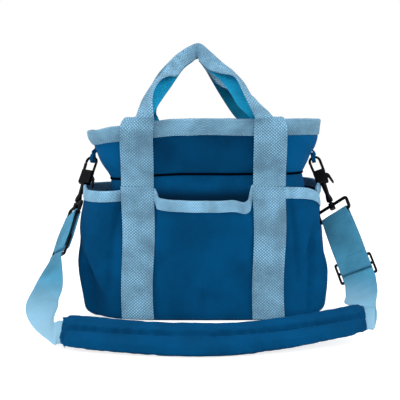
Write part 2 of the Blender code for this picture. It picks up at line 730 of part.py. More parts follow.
def gate(pull, parent):
    """The sprung gate and its thumb lever in one piece, which turns on the gate pin."""
    matrix = pull.frame(HOOK_TURN)
    item = placed(pull.side + "_gate", prism(GATE_OUTLINE, GATE_THICKNESS / 2), "dark_hardware", matrix)
    pivot = matrix @ Vector((GATE_PIN_DISTANCE, 0.0, 0.0))
    item.data.transform(Matrix.Translation((-GATE_PIN_DISTANCE, 0.0, 0.0)))
    item.matrix_world = Matrix.Translation(pivot) @ matrix.to_3x3().to_4x4()
    carried(item, parent)
    combine(item, cross_rod(0.0, 0.0, GATE_PIN_RADIUS + GAP, GATE_THICKNESS), "DIFFERENCE",
            pull.side + "_gate_hole")


def eye(pull, parent):
    """A rectangular loop of round wire that carries the webbing, with a bored boss for the hook's stem."""
    matrix = pull.frame(EYE_TURN[pull.side])
    name = pull.side + "_strap_eye"
    half_width = STRAP_WIDTH / 2 + FRAME_CLEARANCE + EYE_WIRE_RADIUS
    path = rounded_loop(EYE_BAR_DISTANCE, EYE_SLOT_DISTANCE, half_width, EYE_CORNER)
    item = placed(name, wire_mesh(path, EYE_WIRE_RADIUS, ring=True), "dark_hardware", matrix, parent)
    low = EYE_BAR_DISTANCE - EYE_BOSS_HALF_HEIGHT
    high = EYE_BAR_DISTANCE + EYE_BOSS_HALF_HEIGHT
    combine(item, turned_mesh([(low, EYE_BOSS_RADIUS), (high, EYE_BOSS_RADIUS)]), "UNION", name + "_boss")
    bore = STEM_RADIUS + GAP
    combine(item, turned_mesh([(low - CUT_CLEARANCE, bore), (high + CUT_CLEARANCE, bore)]),
            "DIFFERENCE", name + "_bore")


SLIDER_WRAP = SLIDER_THICKNESS / 2 + GAP + STRAP_WEBBING / 2
SLIDER_WRAP_SHIFT = SLIDER_BAR_WIDTH / 4
EYE_WRAP = EYE_WIRE_RADIUS + GAP + STRAP_WEBBING / 2
SLIDER_OUT = EYE_WRAP - SLIDER_WRAP


def slider(pull, parent):
    """A three-bar slider that sets the strap's length."""
    matrix = pull.frame(SLIDER_TURN[pull.side])
    matrix.translation += matrix.to_3x3() @ Vector((SLIDER_DISTANCE[pull.side], 0.0, SLIDER_OUT))
    name = pull.side + "_slider"
    half_bar = SLIDER_BAR_WIDTH / 2
    half_depth = SLIDER_THICKNESS / 2
    opening = STRAP_WIDTH / 2 + FRAME_CLEARANCE
    outer = opening + FRAME_SIDE_WIDTH
    reach = SLIDER_BAR_SPACING + half_bar
    outline = [(point.x, point.y) for point in rounded_loop(-reach, reach, outer, FRAME_SIDE_WIDTH)]
    item = placed(name, prism(outline, half_depth), "dark_hardware", matrix, parent)
    for label, low in (("upper", half_bar - SLIDER_BAR_SPACING), ("lower", half_bar)):
        high = low + SLIDER_BAR_SPACING - SLIDER_BAR_WIDTH
        slot = box_mesh((low, -opening, -SLIDER_THICKNESS), (high, opening, SLIDER_THICKNESS))
        combine(item, slot, "DIFFERENCE", f"{name}_{label}_slot")


def split_alike(band):
    """Split a ribbon's four-sided faces so that its two broad faces bend along the same diagonals."""
    band.verts.index_update()

    def order(vert):
        corner = vert.index % 4
        return vert.index // 4, corner in (1, 2), corner

    for face in list(band.faces):
        bmesh.utils.face_split(face, min(face.verts, key=order), max(face.verts, key=order))


def ribbon(name, stations, width, thickness, finish, parent=None):
    """Flat webbing along stations, each a middle point and the direction across the webbing."""
    sections = []
    for index, (point, across) in enumerate(stations):
        before = stations[max(index - 1, 0)][0]
        after = stations[min(index + 1, len(stations) - 1)][0]
        along = (after - before).normalized()
        across = across.normalized()
        normal = along.cross(across).normalized() * thickness / 2
        half = across * width / 2
        sections.append([point - half + normal, point + half + normal,
                         point + half - normal, point - half - normal])
    band = loft(sections)
    split_alike(band)
    item = add_object(name, band, finish)
    return carried(item, parent) if parent else item


# The webbing's way from behind the slider's middle bar to its face, as distances along and out
SLIDER_CROSSING = ((0.0010, -EYE_WRAP), (0.0035, 0.0010 - EYE_WRAP), (0.0078, EYE_WRAP - 0.0008),
                   (0.0100, EYE_WRAP + 0.0002), (SLIDER_EXIT, EYE_WRAP + 0.0002))
# The webbing's free way from each slider to the pad: middle points and directions across
FREE_ROUTE = {
    "left": (((-0.1830, -0.1080, 0.0430), (0.93, -0.35, 0.15)),
             ((-0.1840, -0.1520, 0.0290), (0.86, 0.30, 0.25))),
    "right": (((0.1890, -0.1050, 0.0345), (0.93, -0.20, 0.30)),
              ((0.1850, -0.1400, 0.0280), (0.45, -0.70, -0.25))),
}


def strap_webbing(pull, parent):
    """One length of webbing: sewn round the slider's middle bar, through the eye, back and on to the pad."""
    stop = SLIDER_DISTANCE[pull.side]
    eye_bar = EYE_SLOT_DISTANCE
    twist_end = stop - SLIDER_BAR_SPACING - SLIDER_BAR_WIDTH

    def station(along, out):
        """The doubled webbing twists from the eye's plane into the slider's."""
        share = (along - eye_bar) / (twist_end - eye_bar)
        matrix = pull.frame(mix(EYE_TURN[pull.side], SLIDER_TURN[pull.side], max(0.0, min(1.0, share))))
        return matrix @ Vector((along, 0.0, out)), matrix.to_3x3() @ Vector((0.0, 1.0, 0.0))

    arc = [math.pi * step / 8 for step in range(9)]
    path = [(stop - SLIDER_TAIL, SLIDER_OUT - SLIDER_WRAP)]
    wrap = stop + SLIDER_WRAP_SHIFT
    path += [(wrap + SLIDER_WRAP * math.sin(a), SLIDER_OUT - SLIDER_WRAP * math.cos(a)) for a in arc]
    doubled = [mix(twist_end, eye_bar, step / 4) for step in range(4)]
    path += [(along, EYE_WRAP) for along in doubled]
    path += [(eye_bar - EYE_WRAP * math.sin(a), EYE_WRAP * math.cos(a)) for a in arc]
    path += [(along, -EYE_WRAP) for along in reversed(doubled)]
    path += [(stop + along, out) for along, out in SLIDER_CROSSING]
    stations = [station(along, out) for along, out in path]
    left = pull.side == "left"
    turn = 1.0 if left else -1.0
    shares = (-PAD_LEAD, 0.0, PAD_INSERT) if left else (1.0 + PAD_LEAD, 1.0, 1.0 - PAD_INSERT)
    route = [stations[-1]] + [(Vector(point), Vector(side)) for point, side in FREE_ROUTE[pull.side]]
    route += [(pad_point(share, 0.5, 0.0), pad_lean(share) * turn) for share in shares]
    points = smooth_route([point for point, side in route], 4)
    sides = smooth_route([side for point, side in route], 4)
    stations += list(zip(points, sides))[1:]
    ribbon(pull.side + "_strap_webbing", stations, STRAP_WIDTH, STRAP_WEBBING, "light_webbing", parent)


# Shoulder pad: two covers sewn together at their edges and down the middle, over two foam lanes

PAD_LOW = (PAD_SEAM / 2 + PAD_COVER) * PAD_REST


def pad_lean(share):
    """The direction across the pad, from its lower edge to its upper edge."""
    if share < 0.5:
        return mix(PAD_LEAN_LEFT, PAD_LEAN_MIDDLE, share * 2.0).normalized()
    return mix(PAD_LEAN_MIDDLE, PAD_LEAN_RIGHT, share * 2.0 - 1.0).normalized()


def pad_edge(share):
    """The pad's lower edge, bowed towards the front, with its right end lifted a little."""
    point = mix(PAD_LEFT, PAD_RIGHT, share)
    bow = PAD_BOW * math.sin(math.pi * share)
    lift = PAD_END_LIFT * max(0.0, share * 2.0 - 1.0) ** 1.5
    return point + Vector((0.0, -bow, lift + PAD_LOW))


def pad_point(share, across, out):
    """A point on the pad: share along it, across it from the lower edge, and out of its face."""
    step = 0.01
    along = (pad_edge(min(share + step, 1.0)) - pad_edge(max(share - step, 0.0))).normalized()
    lean = pad_lean(share)
    near_end = max(0.0, 1.0 - max(0.0, min(share, 1.0 - share)) / PAD_END_ROUNDING)
    inward = (0.5 - across) * PAD_END_NARROWING * near_end ** 2
    return pad_edge(share) + lean * (across + inward) * PAD_WIDTH + along.cross(lean).normalized() * out


def pad_half_gap(share, across, side):
    """Half the space between the covers: nothing at the edges, a seam's width, and foam in two lanes."""
    edge = min(1.0, min(across, 1.0 - across) / PAD_HEM)
    seam = mix(GAP, PAD_SEAM, edge) / 2
    end = min(1.0, min(share, 1.0 - share) / PAD_END_TAPER) ** PAD_LANE_POWER
    lanes = abs(math.sin(2.0 * math.pi * across)) ** PAD_LANE_POWER
    part = PAD_FRONT_SHARE if side > 0.0 else 1.0 - PAD_FRONT_SHARE
    return seam + PAD_FOAM * part * lanes * end


PAD_ROWS = [0.0, PAD_HEM] + [step / 8 for step in range(1, 8)] + [1.0 - PAD_HEM, 1.0]
PAD_STATIONS = [0.0, 0.025, 0.06] + [0.1 + 0.8 * step / 14 for step in range(15)] + [0.94, 0.975, 1.0]


def shoulder_pad(parent):
    for name, side in (("pad_front_cover", 1.0), ("pad_back_cover", -1.0)):
        sections = []
        for share in PAD_STATIONS:
            near = [pad_point(share, v, side * pad_half_gap(share, v, side)) for v in PAD_ROWS]
            far = [pad_point(share, v, side * (pad_half_gap(share, v, side) + PAD_COVER))
                   for v in reversed(PAD_ROWS)]
            sections.append(near + far)
        carried(add_object(name, loft(sections), "petrol_fabric"), parent)
    rows = PAD_ROWS[1:-1]
    sections = []
    for share in PAD_STATIONS[2:-2]:
        front = [pad_point(share, v, pad_half_gap(share, v, 1.0) - GAP) for v in rows]
        back = [pad_point(share, v, GAP - pad_half_gap(share, v, -1.0)) for v in reversed(rows)]
        sections.append(front + back)
    carried(add_object("pad_foam", loft(sections), "foam"), parent)


# Fabric tabs on the sides of the collar, each a strip folded in half round the hook's bow

# Shares of the quarter turn, and the heights at which the strip has made them
TAB_TWIST = ((0.10, 0.1908), (0.60, 0.1948), (1.0, 0.1998))


def tab(pull):
    """The strip hangs from a sewn foot and twists a quarter turn on its way down to the bow."""
    centre = pull.top - Vector((0.0, 0.0, TAB_DROP))
    level = pull.frame(HOOK_TURN).to_3x3() @ Vector((0.0, 1.0, 0.0))
    start = math.atan2(level.y, level.x)
    reach = TAB_LOOP_RADIUS + TAB_FABRIC / 2

    def wall_x(z):
        return wall_half_sizes(z).x + TAB_STAND + TAB_FABRIC + GAP / 2

    def layer(share, z, side):
        """A point and direction on one of the strip's two layers, up to the foot."""
        angle = mix(start, math.pi / 2, share)
        apart = mix(reach, (TAB_FABRIC + GAP) / 2, share)
        x = pull.sign * mix(abs(centre.x), wall_x(z), share * share)
        spread = Vector((-math.sin(angle), math.cos(angle), 0.0)) * apart * side
        return Vector((x, centre.y, z)) + spread, Vector((math.cos(angle), math.sin(angle), 0.0))

    def foot(side):
        x = pull.sign * wall_x(TAB_FOOT_HEIGHT)
        spread = Vector((-1.0, 0.0, 0.0)) * (TAB_FABRIC + GAP) / 2 * side
        return Vector((x, centre.y, TAB_FOOT_HEIGHT)) + spread, Vector((0.0, 1.0, 0.0))

    sag = (pull.down * TAB_SAG - Vector((0.0, 0.0, 1.0))).normalized()
    across = (level - sag * level.dot(sag)).normalized()
    spread = across.cross(sag)
    bend = []
    for step in range(9):
        angle = math.pi * step / 8
        bend.append((centre + (spread * math.cos(angle) + sag * math.sin(angle)) * reach, across))
    stations = [foot(1.0)] + [layer(share, z, 1.0) for share, z in reversed(TAB_TWIST)]
    stations += bend + [layer(share, z, -1.0) for share, z in TAB_TWIST] + [foot(-1.0)]
    ribbon(pull.side + "_hook_tab", stations, TAB_WIDTH, TAB_FABRIC, "petrol_fabric")


def shoulder_strap():
    """Everything from the tabs to the pad. It swings as one about a line through the two tabs."""
    swing = axis_empty("shoulder_strap_axis", Vector((0.0, TAB_Y, TAB_Z)))
    for pull in PULLS:
        swivel = axis_empty(pull.side + "_hook_axis", pull.top)
        tab(pull)
        hook(pull, swivel)
        gate(pull, swivel)
        eye(pull, swing)
        slider(pull, swing)
        strap_webbing(pull, swing)
    shoulder_pad(swing)


def main():
    clear_scene()
    base_and_walls()
    lining()
    waist_piping()
    rim_binding()
    outer_pockets()
    sewn_straps()
    handles()
    shoulder_strap()


main()
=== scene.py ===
"""Dresses the frame of a soft grooming bag: cloth shells, webbing, stitching, hardware finish and stage.

Metres, +Z up, the bag's front towards -Y. The shoulder strap lies on the floor in front.
"""

import math

import bmesh
import bpy
from mathutils import Matrix, Vector, kdtree, noise


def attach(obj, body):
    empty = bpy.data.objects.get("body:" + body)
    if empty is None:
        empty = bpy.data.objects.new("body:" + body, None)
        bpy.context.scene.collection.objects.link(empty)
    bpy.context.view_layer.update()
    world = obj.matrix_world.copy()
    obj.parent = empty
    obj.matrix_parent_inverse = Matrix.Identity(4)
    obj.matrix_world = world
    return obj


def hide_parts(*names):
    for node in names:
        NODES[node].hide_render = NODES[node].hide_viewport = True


bl_info = {
    "name": "Grooming bag",
    "version": (1, 0, 0),
    "blender": (4, 5, 0),
    "location": "3D View > Sidebar > Bag",
    "description": "Dresses the frame of a soft grooming bag with cloth, webbing and hardware",
    "category": "Object",
}

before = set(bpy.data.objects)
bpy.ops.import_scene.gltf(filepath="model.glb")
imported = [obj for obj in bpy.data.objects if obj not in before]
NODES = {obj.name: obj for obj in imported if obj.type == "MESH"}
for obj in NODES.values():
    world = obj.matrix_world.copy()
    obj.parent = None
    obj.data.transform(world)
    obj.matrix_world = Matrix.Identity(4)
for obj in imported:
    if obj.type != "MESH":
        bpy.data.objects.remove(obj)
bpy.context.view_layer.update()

# Clearance and the bag's outline, as in the frame
GAP = 0.0003
BASE_HALF = Vector((0.1400, 0.0950))
WAIST_HALF = Vector((0.1205, 0.0935))
RIM_HALF = Vector((0.1455, 0.1060))
WAIST_HEIGHT = 0.172
RIM_HEIGHT = 0.233
CORNER_POWER = 4.0
TAPER_POWER = 1.6
FLARE_POWER = 0.85
BASE_ROUNDING = 0.013
BASE_INSET = 0.008
BASE_INSET_POWER = 2.2
FOOT_SHARE = 0.25
LINING_FLOOR = 0.0045

# How far the soft bag has sunk or drawn in from that outline
LEFT_SINK = 0.0095
LEFT_TIP_SINK = 0.0030
LEFT_DRAW = 0.0080
RIGHT_TIP_DRAW = 0.0045

# Cloth, tape and webbing: thicknesses, the bindings' widths, and how far an edge is rounded
WALL_CLOTH = 0.0012
LINING_CLOTH = 0.0008
TAPE = 0.0012
POCKET_CLOTH = 0.0010
WEBBING = 0.0016
RIM_BAND = 0.018
RIM_TAPE_LIFT = 0.0006
RIM_STITCH_SHARE = 0.05
RIM_STITCH_POINTS = 600
PIPING_RADIUS = 0.0014
POCKET_BAND = 0.0115
EDGE_SHARE = 0.3

# Shares across a folded tape: each leaf, and the turn between them
TAPE_LEAF = 0.42
TAPE_TURN = 0.16

# Pockets
POCKET_HEIGHT = 0.146
POCKET_SEAM = 0.004
STRAP_CLEARANCE = 0.0055
WALL_LOW = 0.0018
POCKET_BULGE = 0.011
POCKET_RISE_POWER = 0.8

# Handles. HANDLE_SPREAD is the count of stations, each way, that sets the direction along one
HANDLE_WIDTH = 0.038
HANDLE_SPACING = 0.153
STITCH_HEIGHT = 0.1575
LOWER_STITCH_HEIGHT = 0.1440
STITCH_LIFT = 0.0002
HANDLE_RIM_CLEARANCE = 0.0050
FOLD_RADIUS = 0.0020
HANDLE_TOP = 0.330
HANDLE_APEX_X = -0.006
HANDLE_STEPS = 6
HANDLE_SPREAD = 12
STRAP_OFFSET = 5.0 * GAP + POCKET_CLOTH + TAPE

# Shoulder strap
STRAP_WIDTH = 0.038
STRAP_WEBBING = 0.0014
TAB_X = 0.1393
TAB_Y = 0.010
TAB_Z = 0.187
STRAP_LEAN = {"left": 0.25, "right": 0.275}
STRAP_FORWARD = 0.49
EYE_TURN = {"left": math.radians(64.0), "right": math.radians(45.0)}
SLIDER_TURN = {"left": math.radians(60.0), "right": math.radians(17.5)}
HOOK_TURN = math.radians(10.0)
SLIDER_DISTANCE = {"left": 0.128, "right": 0.157}
EYE_SLOT_DISTANCE = 0.0840
EYE_WIRE_RADIUS = 0.0021
SLIDER_THICKNESS = 0.0024
SLIDER_BAR_WIDTH = 0.0030
SLIDER_BAR_SPACING = 0.0120
SLIDER_TAIL = 0.0060
SLIDER_EXIT = 0.0170
SLIDER_WRAP = SLIDER_THICKNESS / 2 + GAP + STRAP_WEBBING / 2
SLIDER_WRAP_SHIFT = SLIDER_BAR_WIDTH / 4
EYE_WRAP = EYE_WIRE_RADIUS + GAP + STRAP_WEBBING / 2
SLIDER_OUT = EYE_WRAP - SLIDER_WRAP
TAB_WIDTH = 0.0046
TAB_CLOTH = 0.0010
TAB_STAND = 0.0011
TAB_LOOP_RADIUS = 0.0050
TAB_FOOT_HEIGHT = 0.210
LOOP_STITCH_BACK = 0.017
LOOP_STITCH_REACH = 0.017

# The tab's turn from the hook to the wall: share of the turn, and height
TAB_TWIST = ((0.10, 0.1908), (0.60, 0.1948), (1.0, 0.1998))

# The free webbing from each slider to the pad: place, and direction across it
FREE_ROUTE = {
    "left": (((-0.1790, -0.1080, 0.0430), (0.93, -0.35, 0.15)),
             ((-0.1790, -0.1520, 0.0290), (0.86, 0.30, 0.25))),
    "right": (((0.1830, -0.1050, 0.0345), (0.93, -0.20, 0.30)),
              ((0.1760, -0.1420, 0.0285), (0.76, -0.60, 0.05))),
}

# Shoulder pad
PAD_WIDTH = 0.060
PAD_THICKNESS = 0.0100
PAD_SEAM = 0.0020
PAD_INSERT = 0.025
PAD_LEAD = 0.022
PAD_LEFT = Vector((-0.1490, -0.241, 0.0))
PAD_RIGHT = Vector((0.1735, -0.210, 0.0))
PAD_BOW = 0.045
PAD_END_NARROWING = 0.12
PAD_END_ROUNDING = 0.07
PAD_END_LIFT = 0.008
PAD_LOW = 0.0018
PAD_COLUMNS = 130
PAD_LANES = 22
PAD_SHRINK = 0.86
PAD_VOXEL = 0.0030
PAD_SWELL = 0.0026
PAD_FLOOR_GAP = 0.0006
PAD_CHANNEL = 0.5
PAD_END_SEAMS = (0.022, 0.978)
CLOTH_FRAMES = 20
PAD_LEANS = (Vector((-0.08, 0.90, 0.41)), Vector((0.0, 0.92, 0.38)), Vector((0.12, 0.91, 0.38)))


def length_setting(name, description, default):
    return bpy.props.FloatProperty(name=name, description=description, default=default, unit="LENGTH")


def colour_setting(name, description, default):
    return bpy.props.FloatVectorProperty(name=name, description=description, default=default,
                                         size=3, subtype="COLOR")


class BagSizes(bpy.types.PropertyGroup):
    thread: length_setting("Thread", "Half thickness of the sewing thread", 0.00034)
    stitch: length_setting("Stitch", "Distance from one stitch to the next", 0.0036)
    wrinkle: length_setting("Wrinkle", "Depth of the soft waves in the cloth", 0.0016)
    pad_pressure: bpy.props.FloatProperty(name="Pad pressure", description="Pressure that fills the pad",
                                          default=3.0)
    lens: bpy.props.FloatProperty(name="Lens", description="Focal length of the camera", default=84.6)


class BagColours(bpy.types.PropertyGroup):
    petrol: colour_setting("Cloth", "Colour of the walls, pockets and pad", (0.0001, 0.055, 0.152))
    pale: colour_setting("Webbing", "Colour of the webbing and tape", (0.200, 0.410, 0.585))
    # The colour inside the folded handles is painted light: the pale webbing seen in shade and lit through
    # from behind.
    inner: colour_setting("Webbing back", "Colour inside the folded handles", (0.004, 0.300, 0.540))
    dark: colour_setting("Hardware", "Colour of the hooks and sliders", (0.0012, 0.0016, 0.0026))


def sizes():
    return bpy.context.scene.bag_sizes


def colours():
    return bpy.context.scene.bag_colours


# Shaders

# Colours that the panel doesn't offer, places where a colour changes, and the cord's twist
# The shoulder strap's webbing: a darker copy as painted shade, and a paler one as painted light where it
# lies near the floor
STRAP_PAINTED_SHADE_COLOUR = (0.060, 0.270, 0.430)
STRAP_PAINTED_LIGHT_COLOUR = (0.290, 0.500, 0.650)
CORD_COLOUR = (0.0004, 0.0010, 0.0030)
SCUFF_COLOUR = (0.012, 0.014, 0.018)
BOARD_COLOUR = (0.08, 0.08, 0.08)
# Places across the bag where the collar's painted light begins and is full, outside the straps
OUTSIDE_STRAPS = (0.075, 0.100)
# Heights over which the strap's painted light near the floor fades into its painted shade
FOOT_HEIGHTS = (0.012, 0.055)
CORD_TWIST = 0.0012
CORD_GIRTH = 0.0088

# Whole lanes added below a webbing's edge, which keeps the count of lanes above nothing
LANES_BELOW = 400.0


class Wire:
    """A shader socket that can be used in sums, with the tree that it belongs to."""

    def __init__(self, tree, socket=None):
        self.tree = tree
        self.socket = socket

    def node(self, kind, settings=None, values=None, output=0):
        """Any node, with its settings made first and then its sockets given values or links."""
        made = self.tree.nodes.new(kind)
        for key, value in (settings or {}).items():
            setattr(made, key, value)
        for key, value in (values or {}).items():
            if isinstance(value, Wire):
                self.tree.links.new(value.socket, made.inputs[key])
            else:
                made.inputs[key].default_value = value
        return Wire(self.tree, made.outputs[output] if made.outputs else None)

    def math(self, operation, *values):
        return self.node("ShaderNodeMath", {"operation": operation}, dict(enumerate(values)))

    def __add__(self, other):
        return self.math("ADD", self, other)

    def __radd__(self, other):
        return self.math("ADD", other, self)

    def __sub__(self, other):
        return self.math("SUBTRACT", self, other)

    def __rsub__(self, other):
        return self.math("SUBTRACT", other, self)

    def __mul__(self, other):
        return self.math("MULTIPLY", self, other)

    def __rmul__(self, other):
        return self.math("MULTIPLY", other, self)

    def __truediv__(self, other):
        return self.math("DIVIDE", self, other)

    def sine(self):
        return self.math("SINE", self)

    def absolute(self):
        return self.math("ABSOLUTE", self)

    def axis(self, index):
        """One number out of a place or a map."""
        return self.node("ShaderNodeSeparateXYZ", None, {0: self}, output=index)

    def between(self, low, high):
        """Nothing below low, one above high, and smooth between."""
        return self.node("ShaderNodeMapRange", {"interpolation_type": "SMOOTHSTEP"},
                         {0: self, 1: low, 2: high, 3: 0.0, 4: 1.0})


def blend_colours(start, mask, first, second):
    """A mix of two colours, where either may be a link."""
    values = {0: mask}
    for key, colour in ((6, first), (7, second)):
        values[key] = colour if isinstance(colour, Wire) else (*colour, 1.0)
    return start.node("ShaderNodeMix", {"data_type": "RGBA"}, values, output=2)


def scaled(colour, factor):
    return tuple(channel * factor for channel in colour)


def new_finish(name, colour, roughness, sheen=0.0, specular=0.3):
    """A new material's shader and the start of its tree."""
    made = bpy.data.materials.new(name)
    made.use_nodes = True
    tree = made.node_tree
    shader = tree.nodes["Principled BSDF"]
    shader.inputs["Base Color"].default_value = (*colour, 1.0)
    shader.inputs["Roughness"].default_value = roughness
    shader.inputs["Specular IOR Level"].default_value = specular
    if sheen:
        shader.inputs["Sheen Weight"].default_value = sheen
        shader.inputs["Sheen Roughness"].default_value = 0.45
    return shader, Wire(tree)


def link_finish(shader, colour, roughness, relief):
    """Link a finish's colour, roughness and relief to its shader."""
    for socket, source in (("Base Color", colour), ("Roughness", roughness), ("Normal", relief)):
        source.tree.links.new(source.socket, shader.inputs[socket])


def bumped(height, strength, distance):
    values = {"Strength": strength, "Distance": distance, "Height": height}
    return height.node("ShaderNodeBump", None, values)


def object_place(start):
    return start.node("ShaderNodeTexCoord", output=3)


def cloth_map(start):
    """Distance along and across a sheet, from its own map in metres."""
    flat = start.node("ShaderNodeUVMap", {"uv_map": "cloth"})
    return flat.axis(0), flat.axis(1)


def noise_at(start, place, scale, detail=3.0, roughness=0.55):
    return start.node("ShaderNodeTexNoise", None,
                      {"Vector": place, "Scale": scale, "Detail": detail, "Roughness": roughness})


def cloth_finish(name, colour, pitch, contrast, painted_shade=None, sides=None):
    """Plain woven cloth: fine crossed threads, slow colour change and a little fuzz.

    The pair of heights for painted shade: between them the cloth darkens downwards, as under a pocket's
    mouth.
    sides is the colour of painted light that the cloth takes outside the straps, where the bag's sides are
    lit more.
    """
    shader, start = new_finish(name, colour, 0.85, specular=0.03)
    place = object_place(start)
    steps = 2.0 * math.pi / pitch
    across = (place.axis(0) + place.axis(1)) * steps
    up = place.axis(2) * steps
    threads = (across.sine() * up.sine()) * 0.5 + 0.5
    slow = noise_at(start, place, 22.0, 4.0)
    fine = noise_at(start, place, 240.0, 4.0, 0.65)
    tone = blend_colours(start, slow.between(0.30, 0.70), scaled(colour, 1.0 - contrast),
                         scaled(colour, 1.0 + contrast))
    fuzz = blend_colours(start, fine.between(0.42, 0.80) * 0.35, tone, scaled(colour, 1.25))
    woven = blend_colours(start, threads * 0.22, fuzz, scaled(colour, 0.62))
    # Painted shade: the cloth darkens towards the bottom between the two heights, as under a pocket's
    # mouth.
    if painted_shade:
        below = 1.0 - place.axis(2).between(*painted_shade)
        woven = blend_colours(start, below * 0.80, woven, scaled(colour, 0.08))
    # Painted light: the cloth turns to the sides colour outside the straps, where the sides are lit more.
    if sides:
        beyond = place.axis(0).absolute().between(*OUTSIDE_STRAPS)
        woven = blend_colours(start, beyond * 0.85, woven, sides)
    rough = slow * 0.16 + fine * 0.10 + 0.68
    height = threads * 0.5 + fine * 0.5 + slow * 2.0
    link_finish(shader, woven, rough, bumped(height, 0.35, 0.0004))


def webbing_finish(name, colour, rib, lane, depth, contrast, foot=None):
    """Woven webbing: short ribs in lanes, every other lane set half a rib along, by the piece's own map.

    foot is the colour of painted light that the webbing takes near the floor, where it lies lit and facing
    up.
    """
    shader, start = new_finish(name, colour, 0.8, sheen=0.05, specular=0.10)
    along, across = cloth_map(start)
    place = object_place(start)
    wobble = noise_at(start, place, 60.0, 2.0) * 0.0005
    lanes = (across + wobble) / lane + LANES_BELOW
    odd = start.math("FLOOR", start.math("MODULO", lanes, 2.0))
    phase = (along + wobble) / rib + odd * 0.5
    ribs = (phase * (2.0 * math.pi)).sine() * 0.5 + 0.5
    groove = ((start.math("FRACT", lanes) - 0.5).absolute() * 2.0).between(0.62, 1.0)
    weave = ribs * (1.0 - groove * 0.75)
    slow = noise_at(start, place, 30.0, 3.0)
    fine = noise_at(start, place, 900.0, 3.0, 0.7)
    tone = blend_colours(start, slow.between(0.25, 0.75), scaled(colour, 1.0 - contrast * 0.5),
                         scaled(colour, 1.0 + contrast * 0.5))
    dark = blend_colours(start, (1.0 - weave) * contrast, tone, scaled(colour, 0.42))
    bright = tuple(min(1.0, channel) for channel in scaled(colour, 1.25))
    light = blend_colours(start, fine.between(0.50, 0.85) * 0.30, dark, bright)
    # Painted light: the webbing turns paler towards the floor, where it lies lit.
    if foot:
        near_floor = 1.0 - place.axis(2).between(*FOOT_HEIGHTS)
        light = blend_colours(start, near_floor * 0.75, light, foot)
    link_finish(shader, light, slow * 0.12 + 0.66, bumped(weave + fine * 0.35, 0.8, depth))


def hardware_finish(name, colour):
    """Moulded black plastic with faint scuffs."""
    shader, start = new_finish(name, colour, 0.34, specular=0.09)
    place = object_place(start)
    scuff = noise_at(start, place, 320.0, 5.0, 0.7)
    grain = noise_at(start, place, 2200.0, 2.0)
    scuffed = blend_colours(start, scuff.between(0.62, 0.85) * 0.35, colour, SCUFF_COLOUR)
    link_finish(shader, scuffed, scuff * 0.28 + 0.26, bumped(grain * 0.5 + scuff, 0.25, 0.00015))


def cord_finish(name, colour):
    """Thin dark cord with a close twist."""
    shader, start = new_finish(name, colour, 0.9, specular=0.0)
    along, across = cloth_map(start)
    twist = ((along / CORD_TWIST + across / CORD_GIRTH) * (2.0 * math.pi)).sine() * 0.5 + 0.5
    twisted = blend_colours(start, twist, colour, scaled(colour, 2.6))
    link_finish(shader, twisted, twist * 0.15 + 0.75, bumped(twist, 0.6, 0.0003))


def plain_finish(name, colour, roughness, scale):
    """A smooth surface with slight mottling."""
    shader, start = new_finish(name, colour, roughness)
    mottle = noise_at(start, object_place(start), scale, 4.0)
    mottled = blend_colours(start, mottle.between(0.3, 0.7), scaled(colour, 0.85), scaled(colour, 1.1))
    link_finish(shader, mottled, mottle * 0.2 + (roughness - 0.1), bumped(mottle, 0.3, 0.0003))


def finish_table():
    """The maker, the colour and the details of every finish."""
    petrol = colours().petrol
    pale = colours().pale
    tape = {"rib": 0.0026, "lane": 0.0017, "depth": 0.0005, "contrast": 0.70}
    wall = {"pitch": 0.0011, "contrast": 0.22}
    thread = {"roughness": 0.6, "scale": 900.0}
    return {
        "petrol_cloth": (cloth_finish, petrol, wall),
        # The walls take painted shade below the pockets' mouths.
        "wall_cloth": (cloth_finish, petrol, {**wall, "painted_shade": (0.144, 0.160)}),
        # The collar: a darker copy of the cloth as painted shade in its middle, with painted light on its
        # sides outside the straps.
        "waist_cloth": (cloth_finish, scaled(petrol, 0.72), {**wall, "sides": scaled(petrol, 1.40)}),
        "pad_cloth": (cloth_finish, scaled(petrol, 0.88), {"pitch": 0.0011, "contrast": 0.16}),
        "lining_cloth": (cloth_finish, scaled(petrol, 0.40), {"pitch": 0.0009, "contrast": 0.08}),
        # The rim's tape: a darker copy of the pale tape, as painted shade.
        "rim_webbing": (webbing_finish, scaled(pale, 0.92), tape),
        "pale_tape": (webbing_finish, scaled(pale, 1.22), tape),
        "pale_webbing": (webbing_finish, pale,
                         {"rib": 0.0034, "lane": 0.0019, "depth": 0.0007, "contrast": 0.95}),
        # Inside the folded handles: painted light, the webbing lit through from behind.
        "webbing_back": (webbing_finish, colours().inner,
                         {"rib": 0.0026, "lane": 0.0016, "depth": 0.0003, "contrast": 0.40}),
        # The shoulder strap's webbing: painted shade, with painted light near the floor.
        "strap_webbing": (webbing_finish, STRAP_PAINTED_SHADE_COLOUR,
                          {"rib": 0.0024, "lane": 0.0013, "depth": 0.0004, "contrast": 0.50,
                           "foot": STRAP_PAINTED_LIGHT_COLOUR}),
        "black_cord": (cord_finish, CORD_COLOUR, {}),
        "black_plastic": (hardware_finish, colours().dark, {}),
        "pale_thread": (plain_finish, scaled(pale, 0.80), thread),
        "petrol_thread": (plain_finish, scaled(petrol, 0.55), thread),
        "stiff_board": (plain_finish, BOARD_COLOUR, {"roughness": 0.7, "scale": 60.0}),
    }


def finish(name):
    """A finish by its name, made when it is first asked for."""
    if name not in bpy.data.materials:
        maker, colour, details = finish_table()[name]
        maker(name, colour, **details)
    return bpy.data.materials[name]


# Meshes

def add_piece(name, mesh_data, finishes, body, replaces=()):
    """Put a mesh in the scene as a piece that rides on a body."""
    mesh = bpy.data.meshes.new(name)
    mesh_data.to_mesh(mesh)
    mesh_data.free()
    mesh.shade_smooth()
    piece = bpy.data.objects.new(name, mesh)
    for label in finishes:
        mesh.materials.append(finish(label))
    bpy.context.scene.collection.objects.link(piece)
    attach(piece, body)
    if replaces:
        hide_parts(*replaces)
    return piece


